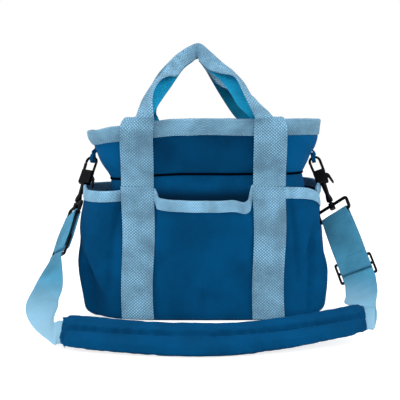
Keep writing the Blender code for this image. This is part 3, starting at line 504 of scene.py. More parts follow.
def thicken(piece, thickness, offset=-1.0, back=0):
    """Give a sheet its cloth thickness and softly rounded edges."""
    wall = piece.modifiers.new("cloth_thickness", "SOLIDIFY")
    wall.thickness = thickness
    wall.offset = offset
    wall.use_even_offset = True
    wall.material_offset = back
    soft = piece.modifiers.new("soft_edges", "BEVEL")
    soft.width = thickness * EDGE_SHARE
    soft.segments = 2
    soft.limit_method = "ANGLE"
    soft.angle_limit = math.radians(50.0)


def sheet_mesh(columns, rows, place, extent, closed=False):
    """A grid placed by its shares along and across, with a map in metres."""
    mesh_data = bmesh.new()
    chart = mesh_data.loops.layers.uv.new("cloth")
    bmesh.ops.create_grid(mesh_data, x_segments=columns, y_segments=rows, size=0.5)
    shares = {vert: (vert.co.x + 0.5, vert.co.y + 0.5) for vert in mesh_data.verts}
    for face in mesh_data.faces:
        for loop in face.loops:
            u, v = shares[loop.vert]
            loop[chart].uv = (u * extent[0], v * extent[1])
    for vert, (u, v) in shares.items():
        vert.co = place(u, v)
    if closed:
        bmesh.ops.remove_doubles(mesh_data, verts=mesh_data.verts, dist=1e-5)
    return mesh_data


def map_lengths(band, lengths):
    """Set a band's map from the distance along it to each of its columns."""
    chart = band.loops.layers.uv.active
    for face in band.faces:
        for loop in face.loops:
            loop[chart].uv.x = lengths[int(round(loop[chart].uv.x * (len(lengths) - 1)))]


def mix(first, second, share):
    return first + (second - first) * share


def clamp(value, low=0.0, high=1.0):
    return max(low, min(high, value))


def smooth(value):
    value = clamp(value)
    return value * value * (3.0 - 2.0 * value)


def rise(value, low, high):
    """Nothing at low, one at high, and smooth between."""
    return smooth((value - low) / (high - low))


def hump(value, centre, width):
    """One at the centre, and less on both sides of it."""
    return math.exp(-((value - centre) / width) ** 2)


def ruffle(x, y, z):
    """Slow random change from place to place."""
    return noise.noise(Vector((x, y, z)))


def smooth_route(points, steps):
    """A smooth curve through vectors, with the same number of steps in each span."""
    route = []
    for index in range(len(points) - 1):
        before = points[max(index - 1, 0)]
        start = points[index]
        end = points[index + 1]
        after = points[min(index + 2, len(points) - 1)]
        for step in range(steps):
            share = step / steps
            square = share * share
            cube = square * share
            route.append(0.5 * (2.0 * start + (end - before) * share
                                + (2.0 * before - 5.0 * start + 4.0 * end - after) * square
                                + (3.0 * start - before - 3.0 * end + after) * cube))
    route.append(points[-1])
    return route


def along_list(values, share):
    """A value between the entries of a list, at a share of its length."""
    place = clamp(share) * (len(values) - 1)
    index = min(int(place), len(values) - 2)
    return mix(values[index], values[index + 1], place - index)


# The bag's outline

def wall_half(z):
    """Half width and half depth of the outer wall at a height, drawn in at the rounded base edge."""
    if z <= WAIST_HEIGHT:
        half = mix(BASE_HALF, WAIST_HALF, (max(z, 0.0) / WAIST_HEIGHT) ** TAPER_POWER)
    else:
        share = (z - WAIST_HEIGHT) / (RIM_HEIGHT - WAIST_HEIGHT)
        half = mix(WAIST_HALF, RIM_HALF, share ** FLARE_POWER)
    low = clamp(1.0 - z / BASE_ROUNDING)
    inset = BASE_INSET * low ** BASE_INSET_POWER
    return half - Vector((inset, inset * FOOT_SHARE))


def droop(x, z):
    """How far the bag's left side has sunk, and its left rim a little more."""
    side = LEFT_SINK * rise(-x, 0.02, 0.14) * z / 0.2
    tip = LEFT_TIP_SINK * rise(-x, 0.11, 0.14) * rise(z, 0.20, 0.23)
    return side + tip


def waves(point, z):
    """Soft waves of the cloth between its seams."""
    free = rise(z, 0.0, 0.03) * smooth(abs(z - WAIST_HEIGHT) / 0.016) * smooth((RIM_HEIGHT - z) / 0.03)
    broad = ruffle(point.x * 14.0, point.y * 14.0, z * 26.0)
    creases = ruffle(point.x * 55.0, point.y * 55.0, z * 14.0 + 7.0)
    slant = point.x * 0.8 + z * 1.1
    folds = ruffle(slant * 42.0, (z - point.x) * 9.0, point.y * 8.0)
    collar = smooth((z - WAIST_HEIGHT) / 0.012)
    return sizes().wrinkle * free * (broad + 0.35 * creases + 2.4 * collar * folds)


def slump(x, z):
    """Shift along X where the wall has drawn in: the left side over its pocket, the rim's right tip."""
    drawn = rise(z, 0.10, 0.16) * (1.0 - 0.30 * rise(z, 0.18, 0.23))
    side = LEFT_DRAW * rise(-x, 0.05, 0.12) * drawn
    tip = RIGHT_TIP_DRAW * rise(x, 0.09, 0.13) * rise(z, 0.21, 0.23)
    return side - tip


def wall_point(angle, z, offset, waved=True):
    """A point on the outline at a height, moved out from the wall's outer face by an offset.

    waved adds the cloth's waves, and what has sunk or drawn in.
    """
    half = wall_half(z)
    power = 2.0 / CORNER_POWER
    across = math.copysign(abs(math.cos(angle)) ** power, math.cos(angle))
    along = math.copysign(abs(math.sin(angle)) ** power, math.sin(angle))
    point = Vector((half.x * across, half.y * along, z))
    shift = 0.0
    sunk = 0.0
    if waved:
        offset += waves(point, z)
        shift = slump(point.x, z)
        sunk = droop(point.x, z)
    return Vector(((half.x + offset) * across + shift, (half.y + offset) * along, z - sunk))


def even_angles(start, end, count):
    """Outline angles at equal distances from one angle to another, and the whole distance."""
    fine = 1600
    angles = [mix(start, end, index / fine) for index in range(fine + 1)]
    points = [wall_point(angle, POCKET_HEIGHT, 0.0, waved=False) for angle in angles]
    lengths = [0.0]
    for first, second in zip(points, points[1:]):
        lengths.append(lengths[-1] + (second - first).xy.length)
    chosen = []
    index = 0
    for step in range(count + 1):
        while index < fine and lengths[index] < lengths[-1] * step / count - 1e-9:
            index += 1
        chosen.append(angles[index])
    return chosen, lengths[-1]


def angle_at_x(x, z, front, offset=0.0):
    """Outline angle of a place across the front or rear."""
    share = clamp(x / (wall_half(z).x + offset), -1.0, 1.0)
    angle = math.acos(math.copysign(abs(share) ** (CORNER_POWER / 2.0), share))
    return -angle if front else angle


RING_COLUMNS = 220
RING_ANGLES, RING_LENGTH = even_angles(-math.pi, math.pi, RING_COLUMNS)


def ring_angle(u):
    return along_list(RING_ANGLES, u)


def ring_sheet(rows, low, high):
    """A closed band of cloth round the bag between two heights."""
    def place(u, v):
        return wall_point(ring_angle(u), mix(low, high, v), 0.0)
    return sheet_mesh(RING_COLUMNS, rows, place, (RING_LENGTH, high - low), closed=True)


class BAG_OT_shell(bpy.types.Operator):
    """Make the walls, collar, lining, base and waist piping"""
    bl_idname = "bag.shell"
    bl_label = "Walls and lining"

    def execute(self, context):
        wall = ring_sheet(40, WALL_LOW, WAIST_HEIGHT - PIPING_RADIUS)
        thicken(add_piece("body_cloth", wall, ["wall_cloth"], "bag", ["body_panel"]), WALL_CLOTH)
        collar = ring_sheet(18, WAIST_HEIGHT + PIPING_RADIUS, RIM_HEIGHT)
        thicken(add_piece("collar_cloth", collar, ["waist_cloth"], "bag", ["collar_panel"]), WALL_CLOTH)
        self.make_lining()
        self.make_base()
        self.make_piping()
        return {"FINISHED"}

    def make_lining(self):
        inset = -WALL_CLOTH - 2.0 * GAP
        tuck = 0.0024

        def place(u, v):
            z = mix(LINING_FLOOR, RIM_HEIGHT, v)
            near = hump(z, WAIST_HEIGHT, 0.008)
            point = wall_point(ring_angle(u), z, inset - tuck * near)
            corner = clamp(1.0 - (z - LINING_FLOOR) / 0.012) ** 2 * 0.05
            return Vector((point.x * (1.0 - corner), point.y * (1.0 - corner), point.z))

        cup = sheet_mesh(RING_COLUMNS, 48, place, (RING_LENGTH, RIM_HEIGHT), closed=True)
        edge = [item for item in cup.edges if item.is_boundary and item.verts[0].co.z < 0.02]
        bottom = bmesh.ops.extrude_edge_only(cup, edges=edge)
        ring = [item for item in bottom["geom"] if isinstance(item, bmesh.types.BMVert)]
        for vert in ring:
            vert.co = Vector((vert.co.x * 0.5, vert.co.y * 0.5, LINING_FLOOR))
        rim = [item for item in bottom["geom"] if isinstance(item, bmesh.types.BMEdge)]
        bmesh.ops.holes_fill(cup, edges=rim, sides=0)
        for face in cup.faces:
            face.normal_flip()
        piece = add_piece("lining_cup", cup, ["lining_cloth"], "bag", ["lining"])
        thicken(piece, LINING_CLOTH)

    def make_base(self):
        plate = bmesh.new()
        bmesh.ops.create_circle(plate, cap_ends=True, radius=1.0, segments=RING_COLUMNS)
        for index, vert in enumerate(plate.verts):
            vert.co = wall_point(ring_angle(index / RING_COLUMNS), 0.0, 0.0, waved=False)
            vert.co.z = 0.0
        bmesh.ops.inset_region(plate, faces=list(plate.faces), thickness=0.004, use_even_offset=True)
        bmesh.ops.recalc_face_normals(plate, faces=plate.faces)
        for face in plate.faces:
            if face.normal.z > 0.0:
                face.normal_flip()
        piece = add_piece("base_cloth", plate, ["petrol_cloth"], "bag", ["base_panel"])
        thicken(piece, WALL_LOW - GAP)

    def make_piping(self):
        def place(u, v):
            turn = 2.0 * math.pi * v
            point = wall_point(ring_angle(u), WAIST_HEIGHT, -PIPING_RADIUS * math.cos(turn) + GAP)
            lift = 0.0006 * ruffle(point.x * 30.0, point.y * 30.0, 3.0)
            return point + Vector((0.0, 0.0, -PIPING_RADIUS * math.sin(turn) + lift))

        girth = 2.0 * math.pi * PIPING_RADIUS
        cord = sheet_mesh(RING_COLUMNS, 12, place, (RING_LENGTH, girth), closed=True)
        bmesh.ops.recalc_face_normals(cord, faces=cord.faces)
        add_piece("piping_cord", cord, ["black_cord"], "bag", ["waist_piping"])


def tape_leaf(v):
    """The leaf of a folded tape at a share across it, and the share of the way along that leaf."""
    if v < TAPE_LEAF:
        return "front", v / TAPE_LEAF
    if v <= TAPE_LEAF + TAPE_TURN:
        return "turn", (v - TAPE_LEAF) / TAPE_TURN
    return "back", (v - TAPE_LEAF - TAPE_TURN) / TAPE_LEAF


def add_stitches(row, path, normals, spacing, radius):
    """Stitches at equal spacing along a path, each a small rounded grain that is half sunk."""
    travelled = 0.0
    due = spacing / 2
    for index in range(len(path) - 1):
        first = path[index]
        second = path[index + 1]
        step = (second - first).length
        while travelled + step >= due:
            share = (due - travelled) / max(step, 1e-9)
            along = (second - first).normalized()
            up = normals[index] - along * normals[index].dot(along)
            up.normalize()
            side = up.cross(along)
            turn = Matrix((along, side, up)).transposed().to_4x4()
            turn.translation = first.lerp(second, share)
            shape = Matrix.Diagonal((spacing * 0.36, radius * 1.15, radius, 1.0))
            bmesh.ops.create_icosphere(row, subdivisions=2, radius=1.0, matrix=turn @ shape)
            due += spacing
        travelled += step


class BAG_OT_rim(bpy.types.Operator):
    """Make the wide binding folded over the rim, with its line of stitches"""
    bl_idname = "bag.rim"
    bl_label = "Rim binding"

    def execute(self, context):
        top = RIM_HEIGHT + RIM_TAPE_LIFT
        low = top - RIM_BAND + TAPE
        outer = GAP + TAPE
        inner = -WALL_CLOTH - LINING_CLOTH - 4.0 * GAP - TAPE
        roll = (outer - inner) / 2
        middle = (outer + inner) / 2

        def place(u, v):
            leaf, share = tape_leaf(v)
            if leaf == "front":
                z = mix(low, top, share)
                offset = outer + 0.0014 * math.sin(math.pi * share) - GAP
            elif leaf == "turn":
                z = top + 0.8 * roll * math.sin(math.pi * share)
                offset = middle + roll * math.cos(math.pi * share)
            else:
                z = mix(top, low, share)
                offset = inner - 0.0010 * math.sin(math.pi * share)
            point = wall_point(ring_angle(u), min(z, RIM_HEIGHT), offset)
            ripple = 0.0007 * ruffle(point.x * 45.0, point.y * 45.0, 1.0)
            sag = 0.0010 * ruffle(point.x * 16.0, point.y * 16.0, 5.0)
            return point + Vector((0.0, 0.0, z - min(z, RIM_HEIGHT) + ripple + sag))

        width = 2.0 * RIM_BAND + math.pi * roll
        tape = sheet_mesh(RING_COLUMNS, 40, place, (RING_LENGTH, width), closed=True)
        # The rim's tape takes the darker rim finish, whose colour is painted shade.
        piece = add_piece("rim_tape", tape, ["rim_webbing"], "bag", ["rim_binding"])
        thicken(piece, TAPE)
        path = [place(index / RIM_STITCH_POINTS, RIM_STITCH_SHARE) for index in range(RIM_STITCH_POINTS)]
        outward = [Vector((point.x, point.y * 1.4, 0.0)).normalized() for point in path]
        row = bmesh.new()
        add_stitches(row, path, outward, sizes().stitch, sizes().thread)
        add_piece("rim_stitches", row, ["pale_thread"], "bag", ())
        return {"FINISHED"}


# Pockets

# How far the side pockets stand out at heights up the bag
SIDE_STANDS = {
    "right": ((0.000, 0.0040), (0.015, 0.0110), (0.035, 0.0138), (0.072, 0.0172), (0.110, 0.0190),
              (0.156, 0.0240)),
    "left": ((0.000, 0.0010), (0.012, 0.0045), (0.050, 0.0130), (0.090, 0.0205), (0.125, 0.0285),
             (0.160, 0.0345)),
}

# How far each side pocket's mouth lies above the front's, and its bends: height, place from the front
# strap as a share, and width
SIDE_MOUTHS = {
    "right": (0.0085, ((-0.0125, 0.30, 0.085), (0.0020, 0.75, 0.2))),
    "left": (0.0100, ((0.0035, 0.50, 0.2),)),
}

# How far the hardware that hangs on each side presses its pocket's mouth in
POCKET_PRESS = {"right": 0.0085, "left": 0.0040}


def read_profile(pairs, z):
    """A value at a height, on straight lines between pairs of heights and values."""
    for (low, first), (high, second) in zip(pairs, pairs[1:]):
        if z <= high:
            return mix(first, second, clamp((z - low) / (high - low)))
    return pairs[-1][1]


# Folds on the side pockets: place from the front strap and height, at the top and at the foot, then
# depth and width
POCKET_FOLDS = {
    "right": (((0.046, 0.120), (0.026, 0.004), -0.0105, 0.0062),
              ((0.066, 0.085), (0.052, 0.010), 0.0030, 0.0080),
              ((0.090, 0.110), (0.075, 0.020), -0.0018, 0.0070)),
    "left": (((0.060, 0.085), (0.029, 0.003), -0.0125, 0.0072),
             ((0.078, 0.105), (0.050, 0.008), 0.0042, 0.0070),
             ((0.098, 0.120), (0.082, 0.020), -0.0022, 0.0070)),
}


class Pocket:
    """One pocket between two straps, with how far it stands out and how its mouth hangs."""

    def __init__(self, name, side, start, end):
        self.name = name
        self.side = side
        self.flat = side in ("front", "rear")
        self.power = 0.6 if self.flat else 0.5
        self.columns = 90 if self.flat else 150
        self.angles, self.length = even_angles(start, end, 400)
        self.seam = HANDLE_WIDTH / 2 - POCKET_SEAM / 2
        self.margin = (self.seam + STRAP_CLEARANCE) / self.length

    def from_front(self, u):
        """Share of the way from the front strap, for a side pocket."""
        return 1.0 - u if self.side == "left" else u

    def full(self, u, power):
        """One in the middle of the pocket and nothing at the straps."""
        share = (u - self.margin) / (1.0 - 2.0 * self.margin)
        return math.sin(math.pi * clamp(share)) ** power

    def mouth(self, u):
        """Height of the pocket's top edge."""
        if self.flat:
            near = u * self.length - self.seam
            far = (1.0 - u) * self.length - self.seam
            dip = 0.0062 * self.full(u, 0.4)
            kick = 0.0100 * smooth(1.0 - near / 0.0070) + 0.0130 * smooth(1.0 - far / 0.0065)
            fall = 0.0045 * hump(far, 0.0125, 0.0090)
            return POCKET_HEIGHT - dip + kick - fall
        lift, bends = SIDE_MOUTHS[self.side]
        share = self.from_front(u)
        return POCKET_HEIGHT + lift + sum(bend * hump(share, place, width) for bend, place, width in bends)

    def folds(self, u, z):
        """Valleys and ridges that run down the pocket."""
        if self.flat:
            slow = 0.0010 * math.sin(u * 9.0 + 1.0) * rise(z, 0.0, 0.05)
            curl = 0.0050 * hump(u, 1.0 - self.margin - 0.075, 0.018) * rise(z, 0.115, 0.145)
            return slow + curl
        distance = self.from_front(u) * self.length
        total = 0.0
        for top, foot, depth, width in POCKET_FOLDS[self.side]:
            share = clamp((top[1] - z) / (top[1] - foot[1]))
            centre = mix(top[0], foot[0], share)
            strength = smooth(share * 2.4) * rise(z, -0.004, 0.008)
            for way in (distance, self.length - distance):
                total += depth * strength * hump(way, centre, width * mix(0.7, 1.25, share))
        return total

    def stand(self, u, z):
        """How far the pocket's inner face stands off the wall."""
        full = self.full(u, self.power)
        if self.flat:
            out = POCKET_BULGE * full * (max(z, 0.0) / POCKET_HEIGHT) ** POCKET_RISE_POWER
        else:
            press = POCKET_PRESS[self.side] * hump(self.from_front(u), 0.38, 0.13) * rise(z, 0.05, 0.10)
            out = read_profile(SIDE_STANDS[self.side], z) * full - press
        return max(0.0, out + self.folds(u, z)) + 2.0 * GAP

    def place(self, u, z, offset):
        """A point moved out from the pocket's inner face by an offset."""
        return wall_point(along_list(self.angles, u), z, self.stand(u, z) + offset)


def bag_pockets():
    """The four pockets, whose ends lie side by side under the straps."""
    inner = HANDLE_SPACING / 2 - POCKET_SEAM / 2
    outer = HANDLE_SPACING / 2 + POCKET_SEAM / 2
    front = [angle_at_x(x, POCKET_HEIGHT, True) for x in (-inner, inner)]
    rear = [angle_at_x(x, POCKET_HEIGHT, False) for x in (inner, -inner)]
    turn = angle_at_x(outer, POCKET_HEIGHT, False)
    return [Pocket("front_pocket", "front", *front),
            Pocket("right_side_pocket", "right", -turn, turn),
            Pocket("rear_pocket", "rear", *rear),
            Pocket("left_side_pocket", "left", math.pi - turn, math.pi + turn)]


class BAG_OT_pockets(bpy.types.Operator):
    """Make the four outer pockets and the folded tape on their mouths"""
    bl_idname = "bag.pockets"
    bl_label = "Outer pockets"

    def execute(self, context):
        for pocket in bag_pockets():
            self.make_panel(pocket)
            self.make_tape(pocket)
        return {"FINISHED"}

    def make_panel(self, pocket):
        def place(u, v):
            top = pocket.mouth(u)
            return pocket.place(u, mix(WALL_LOW, top, v), POCKET_CLOTH)

        panel = sheet_mesh(pocket.columns, 60, place, (pocket.length, POCKET_HEIGHT))
        piece = add_piece(pocket.name + "_cloth", panel, ["petrol_cloth"], "bag", [pocket.name])
        thicken(piece, POCKET_CLOTH)

    def make_tape(self, pocket):
        roll = (POCKET_CLOTH + 2.0 * TAPE + 2.0 * GAP) / 2

        def place(u, v):
            top = pocket.mouth(u)
            leaf, share = tape_leaf(v)
            if leaf == "front":
                z = mix(top - POCKET_BAND, top, share)
                offset = POCKET_CLOTH + GAP + TAPE + 0.0004 * math.sin(math.pi * share)
            elif leaf == "turn":
                z = top + roll * math.sin(math.pi * share)
                offset = POCKET_CLOTH / 2 + roll * math.cos(math.pi * share)
            else:
                z = mix(top, top - POCKET_BAND * 0.8, share)
                offset = -GAP - TAPE
            ripple = 0.0005 * ruffle(u * pocket.length * 60.0, 2.0, 0.0)
            spot = wall_point(along_list(pocket.angles, u), min(z, WAIST_HEIGHT),
                              pocket.stand(u, min(z, top)) + offset)
            return spot + Vector((0.0, 0.0, ripple))

        tape = sheet_mesh(pocket.columns, 34, place, (pocket.length, 2.0 * POCKET_BAND + math.pi * roll))
        binding = [pocket.name + "_binding"]
        piece = add_piece(pocket.name + "_tape", tape, ["pale_tape"], "bag", binding)
        thicken(piece, TAPE * 0.8)


# Handles and sewn straps

def strap_y(x, z, front, thickness):
    """Where a strap lies on the front or rear of the bag."""
    point = wall_point(angle_at_x(x, z, front, STRAP_OFFSET), z, STRAP_OFFSET, waved=False)
    out = -1.0 if front else 1.0
    return point.y + out * thickness


# Each leg from the rim to the apex: place across as a share of half the spacing, height as a share
# of the way from the rim to the handle's top, how far the webbing is folded, and how far it is rolled
HANDLE_LEGS = {
    "front": (((-0.98, 0.00, 35.0, 0.0), (-0.98, 0.05, 66.0, 8.0), (-0.98, 0.11, 94.0, 24.0),
               (-0.96, 0.18, 114.0, 44.0), (-0.91, 0.28, 118.0, 58.0), (-0.82, 0.40, 114.0, 60.0),
               (-0.74, 0.50, 128.0, 46.0), (-0.62, 0.64, 166.0, 10.0), (-0.48, 0.80, 178.0, 0.0),
               (-0.29, 0.92, 180.0, 0.0)),
              ((1.00, 0.00, 35.0, 0.0), (1.00, 0.05, 66.0, 8.0), (0.96, 0.11, 94.0, 24.0),
               (0.86, 0.19, 114.0, 45.0), (0.73, 0.30, 114.0, 64.0), (0.62, 0.46, 114.0, 66.0),
               (0.48, 0.61, 150.0, 30.0), (0.27, 0.76, 176.0, 0.0), (0.09, 0.90, 180.0, 0.0))),
    "rear": (((-1.04, 0.00, 40.0, 0.0), (-1.08, 0.09, 120.0, 0.0), (-1.05, 0.22, 160.0, 0.0),
              (-0.97, 0.34, 170.0, 0.0), (-0.89, 0.48, 174.0, 0.0), (-0.74, 0.65, 176.0, 0.0),
              (-0.54, 0.80, 178.0, 0.0), (-0.32, 0.93, 180.0, 0.0)),
             ((0.97, 0.00, 0.0, 0.0), (0.84, 0.09, 3.0, 0.0), (0.70, 0.22, 14.0, 0.0),
              (0.54, 0.40, 50.0, 0.0), (0.44, 0.52, 88.0, 0.0), (0.34, 0.65, 140.0, 0.0),
              (0.22, 0.80, 165.0, 0.0), (0.08, 0.92, 180.0, 0.0))),
}


def handle_stations(face):
    """Points of the fold line, each with its fold and roll, from a handle's left end to its right."""
    front = face == "front"
    out = -1.0 if front else 1.0
    stitch_y = strap_y(HANDLE_SPACING / 2, STITCH_HEIGHT, front, WEBBING / 2)
    rim_y = out * (RIM_HALF.y + TAPE + GAP + HANDLE_RIM_CLEARANCE)
    apex_y = out * (2.0 * FOLD_RADIUS + WEBBING / 2 + GAP)
    rim_z = RIM_HEIGHT + GAP + TAPE

    def free_points(leg):
        points = []
        for across, height, fold, roll in leg:
            lean = mix(rim_y, apex_y, max(0.0, height - 0.06) / 0.94)
            x = across * HANDLE_SPACING / 2
            points.append(Vector((x, lean, mix(rim_z, HANDLE_TOP, height), fold, roll)))
        return points

    def sewn_points(sign):
        x = sign * HANDLE_SPACING / 2
        return [Vector((x, stitch_y, STITCH_HEIGHT + GAP / 3, 0.0, 0.0)),
                Vector((x, mix(stitch_y, rim_y, 0.45), mix(STITCH_HEIGHT, rim_z, 0.4), 0.0, 0.0)),
                Vector((x, mix(stitch_y, rim_y, 0.90), mix(STITCH_HEIGHT, rim_z, 0.8), 0.0, 0.0))]

    left, right = HANDLE_LEGS[face]
    apex = free_points(((2.0 * HANDLE_APEX_X / HANDLE_SPACING, 1.0, 180.0, 0.0),))
    route = sewn_points(-1.0) + free_points(left) + apex + (sewn_points(1.0) + free_points(right))[::-1]
    return smooth_route(route, HANDLE_STEPS)


def folded_place(share, fold):
    """Place across and out for a share of the webbing's width, when it is folded along its middle."""
    turn = math.radians(max(fold, 1.0))
    bend = math.pi * FOLD_RADIUS
    radius = bend / turn
    distance = (share - 0.5) * HANDLE_WIDTH
    if distance < -bend / 2:
        return distance, 0.0
    arc = clamp((distance + bend / 2) / bend) * turn
    across = radius * math.sin(arc) - bend / 2
    out = radius * (math.cos(arc) - 1.0)
    beyond = max(0.0, distance - bend / 2)
    return across + beyond * math.cos(turn), out - beyond * math.sin(turn)


def handle_frames(face):
    """Point, directions across and out, and fold at each station, and the distance to each."""
    stations = handle_stations(face)
    front = face == "front"
    facing = Vector((0.0, -1.0 if front else 1.0, 0.25))
    last = len(stations) - 1
    frames = []
    lengths = [0.0]
    for index, station in enumerate(stations):
        before = stations[max(index - HANDLE_SPREAD, 0)].xyz
        after = stations[min(index + HANDLE_SPREAD, last)].xyz
        along = (after - before).normalized()
        across = facing.cross(along) if front else along.cross(facing)
        across = (across - along * across.dot(along)).normalized()
        normal = along.cross(across) if front else across.cross(along)
        roll = math.radians(station[4])
        rolled = across * math.cos(roll) - normal * math.sin(roll)
        normal = normal * math.cos(roll) + across * math.sin(roll)
        frames.append((station.xyz, rolled, normal, station.w))
        if index:
            lengths.append(lengths[-1] + (station.xyz - stations[index - 1].xyz).length)
    return frames, lengths


class BAG_OT_handles(bpy.types.Operator):
    """Make the four sewn straps, the two folded handles and their stitches"""
    bl_idname = "bag.handles"
    bl_label = "Handles and straps"

    def execute(self, context):
        for face in ("front", "rear"):
            for side, sign in (("left", -1.0), ("right", 1.0)):
                self.make_strap(face, side, sign * HANDLE_SPACING / 2)
            self.make_handle(face)
        return {"FINISHED"}

    def make_strap(self, face, side, middle):
        front = face == "front"

        def place(u, v):
            z = mix(WALL_LOW, STITCH_HEIGHT, u)
            lane = v - 0.5 if front else 0.5 - v
            bow = 0.0012 * math.sin(u * 7.0 + middle * 40.0)
            x = middle + bow + lane * HANDLE_WIDTH * (1.0 - 0.02 * math.sin(u * 5.0))
            crown = 0.0005 * math.cos(lane * math.pi)
            wave = 0.0007 * ruffle(x * 40.0, z * 40.0, 9.0)
            return Vector((x, strap_y(x, z, front, WEBBING + crown + wave), z))

        strap = sheet_mesh(70, 12, place, (STITCH_HEIGHT, HANDLE_WIDTH))
        for item in strap.faces:
            item.normal_flip()
        name = f"{face}_{side}_strap"
        piece = add_piece(name + "_webbing", strap, ["pale_webbing"], "bag", [name])
        thicken(piece, WEBBING)
        self.make_stitches(name, place, Vector((0.0, -1.0 if front else 1.0, 0.0)))

    def make_stitches(self, name, place, out):
        """Two rows across the strap, joined by a short row at each edge."""
        lines = []
        for height in (LOWER_STITCH_HEIGHT, STITCH_HEIGHT - 0.0025):
            share = (height - WALL_LOW) / (STITCH_HEIGHT - WALL_LOW)
            lines.append([(share, mix(0.06, 0.94, step / 24)) for step in range(25)])
        for edge in (0.07, 0.93):
            lines.append([(mix(0.915, 0.985, step / 6), edge) for step in range(7)])
        row = bmesh.new()
        for line in lines:
            points = [place(u, v) + out * STITCH_LIFT for u, v in line]
            add_stitches(row, points, [out] * len(line), sizes().stitch * 0.8, sizes().thread)
        add_piece(name + "_stitches", row, ["pale_thread"], "bag", ())

    def make_handle(self, face):
        """Pale outside and bright inside, where the two halves of the webbing face each other; the bright
        blue inside is painted light, standing for the webbing seen in shade and lit through from behind.
        """
        front = face == "front"
        frames, lengths = handle_frames(face)
        last = len(frames) - 1

        def place(u, v):
            index = int(round(u * last))
            point, across, normal, fold = frames[index]
            travelled = lengths[index]
            x, out = folded_place(v, fold)
            flutter = 0.0008 * ruffle(travelled * 30.0, v * 2.0, 4.0 if front else 8.0)
            spot = point + across * x + normal * (out + flutter)
            flat = strap_y(spot.x, min(spot.z, WAIST_HEIGHT), front, WEBBING / 2)
            sewn = 1.0 - rise(spot.z, STITCH_HEIGHT, STITCH_HEIGHT + 0.045)
            return Vector((spot.x, mix(spot.y, flat, sewn), spot.z))

        band = sheet_mesh(last, 22, place, (1.0, HANDLE_WIDTH))
        map_lengths(band, lengths)
        if not front:
            bmesh.ops.reverse_faces(band, faces=band.faces)
        name = face + "_handle"
        piece = add_piece(name + "_webbing", band, ["pale_webbing", "webbing_back"], name, [name])
        thicken(piece, WEBBING, offset=0.0, back=1)


# Hardware and shoulder strap

class PullLine:
    """One side's line of pull from its tab: down runs along it, level and deep stand square to it."""

    def __init__(self, side):
        self.side = side
        self.sign = -1.0 if side == "left" else 1.0
        lean = STRAP_LEAN[side]
        fall = -math.sqrt(1.0 - lean ** 2 - STRAP_FORWARD ** 2)
        self.top = Vector((self.sign * TAB_X, TAB_Y, TAB_Z))
        self.down = Vector((self.sign * lean, -STRAP_FORWARD, fall))
        sideways = Vector((1.0, 0.0, 0.0))
        self.level = (sideways - self.down * sideways.dot(self.down)).normalized()
        self.deep = self.down.cross(self.level)

    def frame(self, turn):
        """A matrix whose X runs down the pull, Y across and Z out of the face."""
        across = self.level * math.cos(turn) + self.deep * math.sin(turn)
        matrix = Matrix((self.down, across, self.down.cross(across))).transposed().to_4x4()
        matrix.translation = self.top
        return matrix


PULLS = [PullLine("left"), PullLine("right")]


def pad_lean(share):
    """Direction across the pad, from the edge that lies in front to the one behind."""
    low, middle, high = PAD_LEANS
    if share < 0.5:
        return mix(low, middle, share * 2.0).normalized()
    return mix(middle, high, share * 2.0 - 1.0).normalized()


def pad_edge(share):
    """A point on the pad's front edge."""
    point = mix(PAD_LEFT, PAD_RIGHT, share)
    bow = PAD_BOW * math.sin(math.pi * share)
    lift = PAD_END_LIFT * max(0.0, share * 2.0 - 1.0) ** 1.5
    return point + Vector((0.0, -bow, lift + PAD_LOW))


def pad_frame(share, across):
    """A point on the pad's middle surface and the direction out of its face."""
    step = 0.01
    along = (pad_edge(min(share + step, 1.0)) - pad_edge(max(share - step, 0.0))).normalized()
    lean = pad_lean(share)
    near_end = max(0.0, 1.0 - max(0.0, min(share, 1.0 - share)) / PAD_END_ROUNDING)
    inward = (0.5 - across) * PAD_END_NARROWING * near_end ** 2
    return pad_edge(share) + lean * (across + inward) * PAD_WIDTH, along.cross(lean).normalized()


def twist_end(pull):
    """Distance down the pull at which the webbing has turned from its eye to its slider."""
    return SLIDER_DISTANCE[pull.side] - SLIDER_BAR_SPACING - SLIDER_BAR_WIDTH


def twisted_frame(pull, along):
    """The webbing's frame at a distance down the pull."""
    share = clamp((along - EYE_SLOT_DISTANCE) / (twist_end(pull) - EYE_SLOT_DISTANCE))
    return pull.frame(mix(EYE_TURN[pull.side], SLIDER_TURN[pull.side], share))


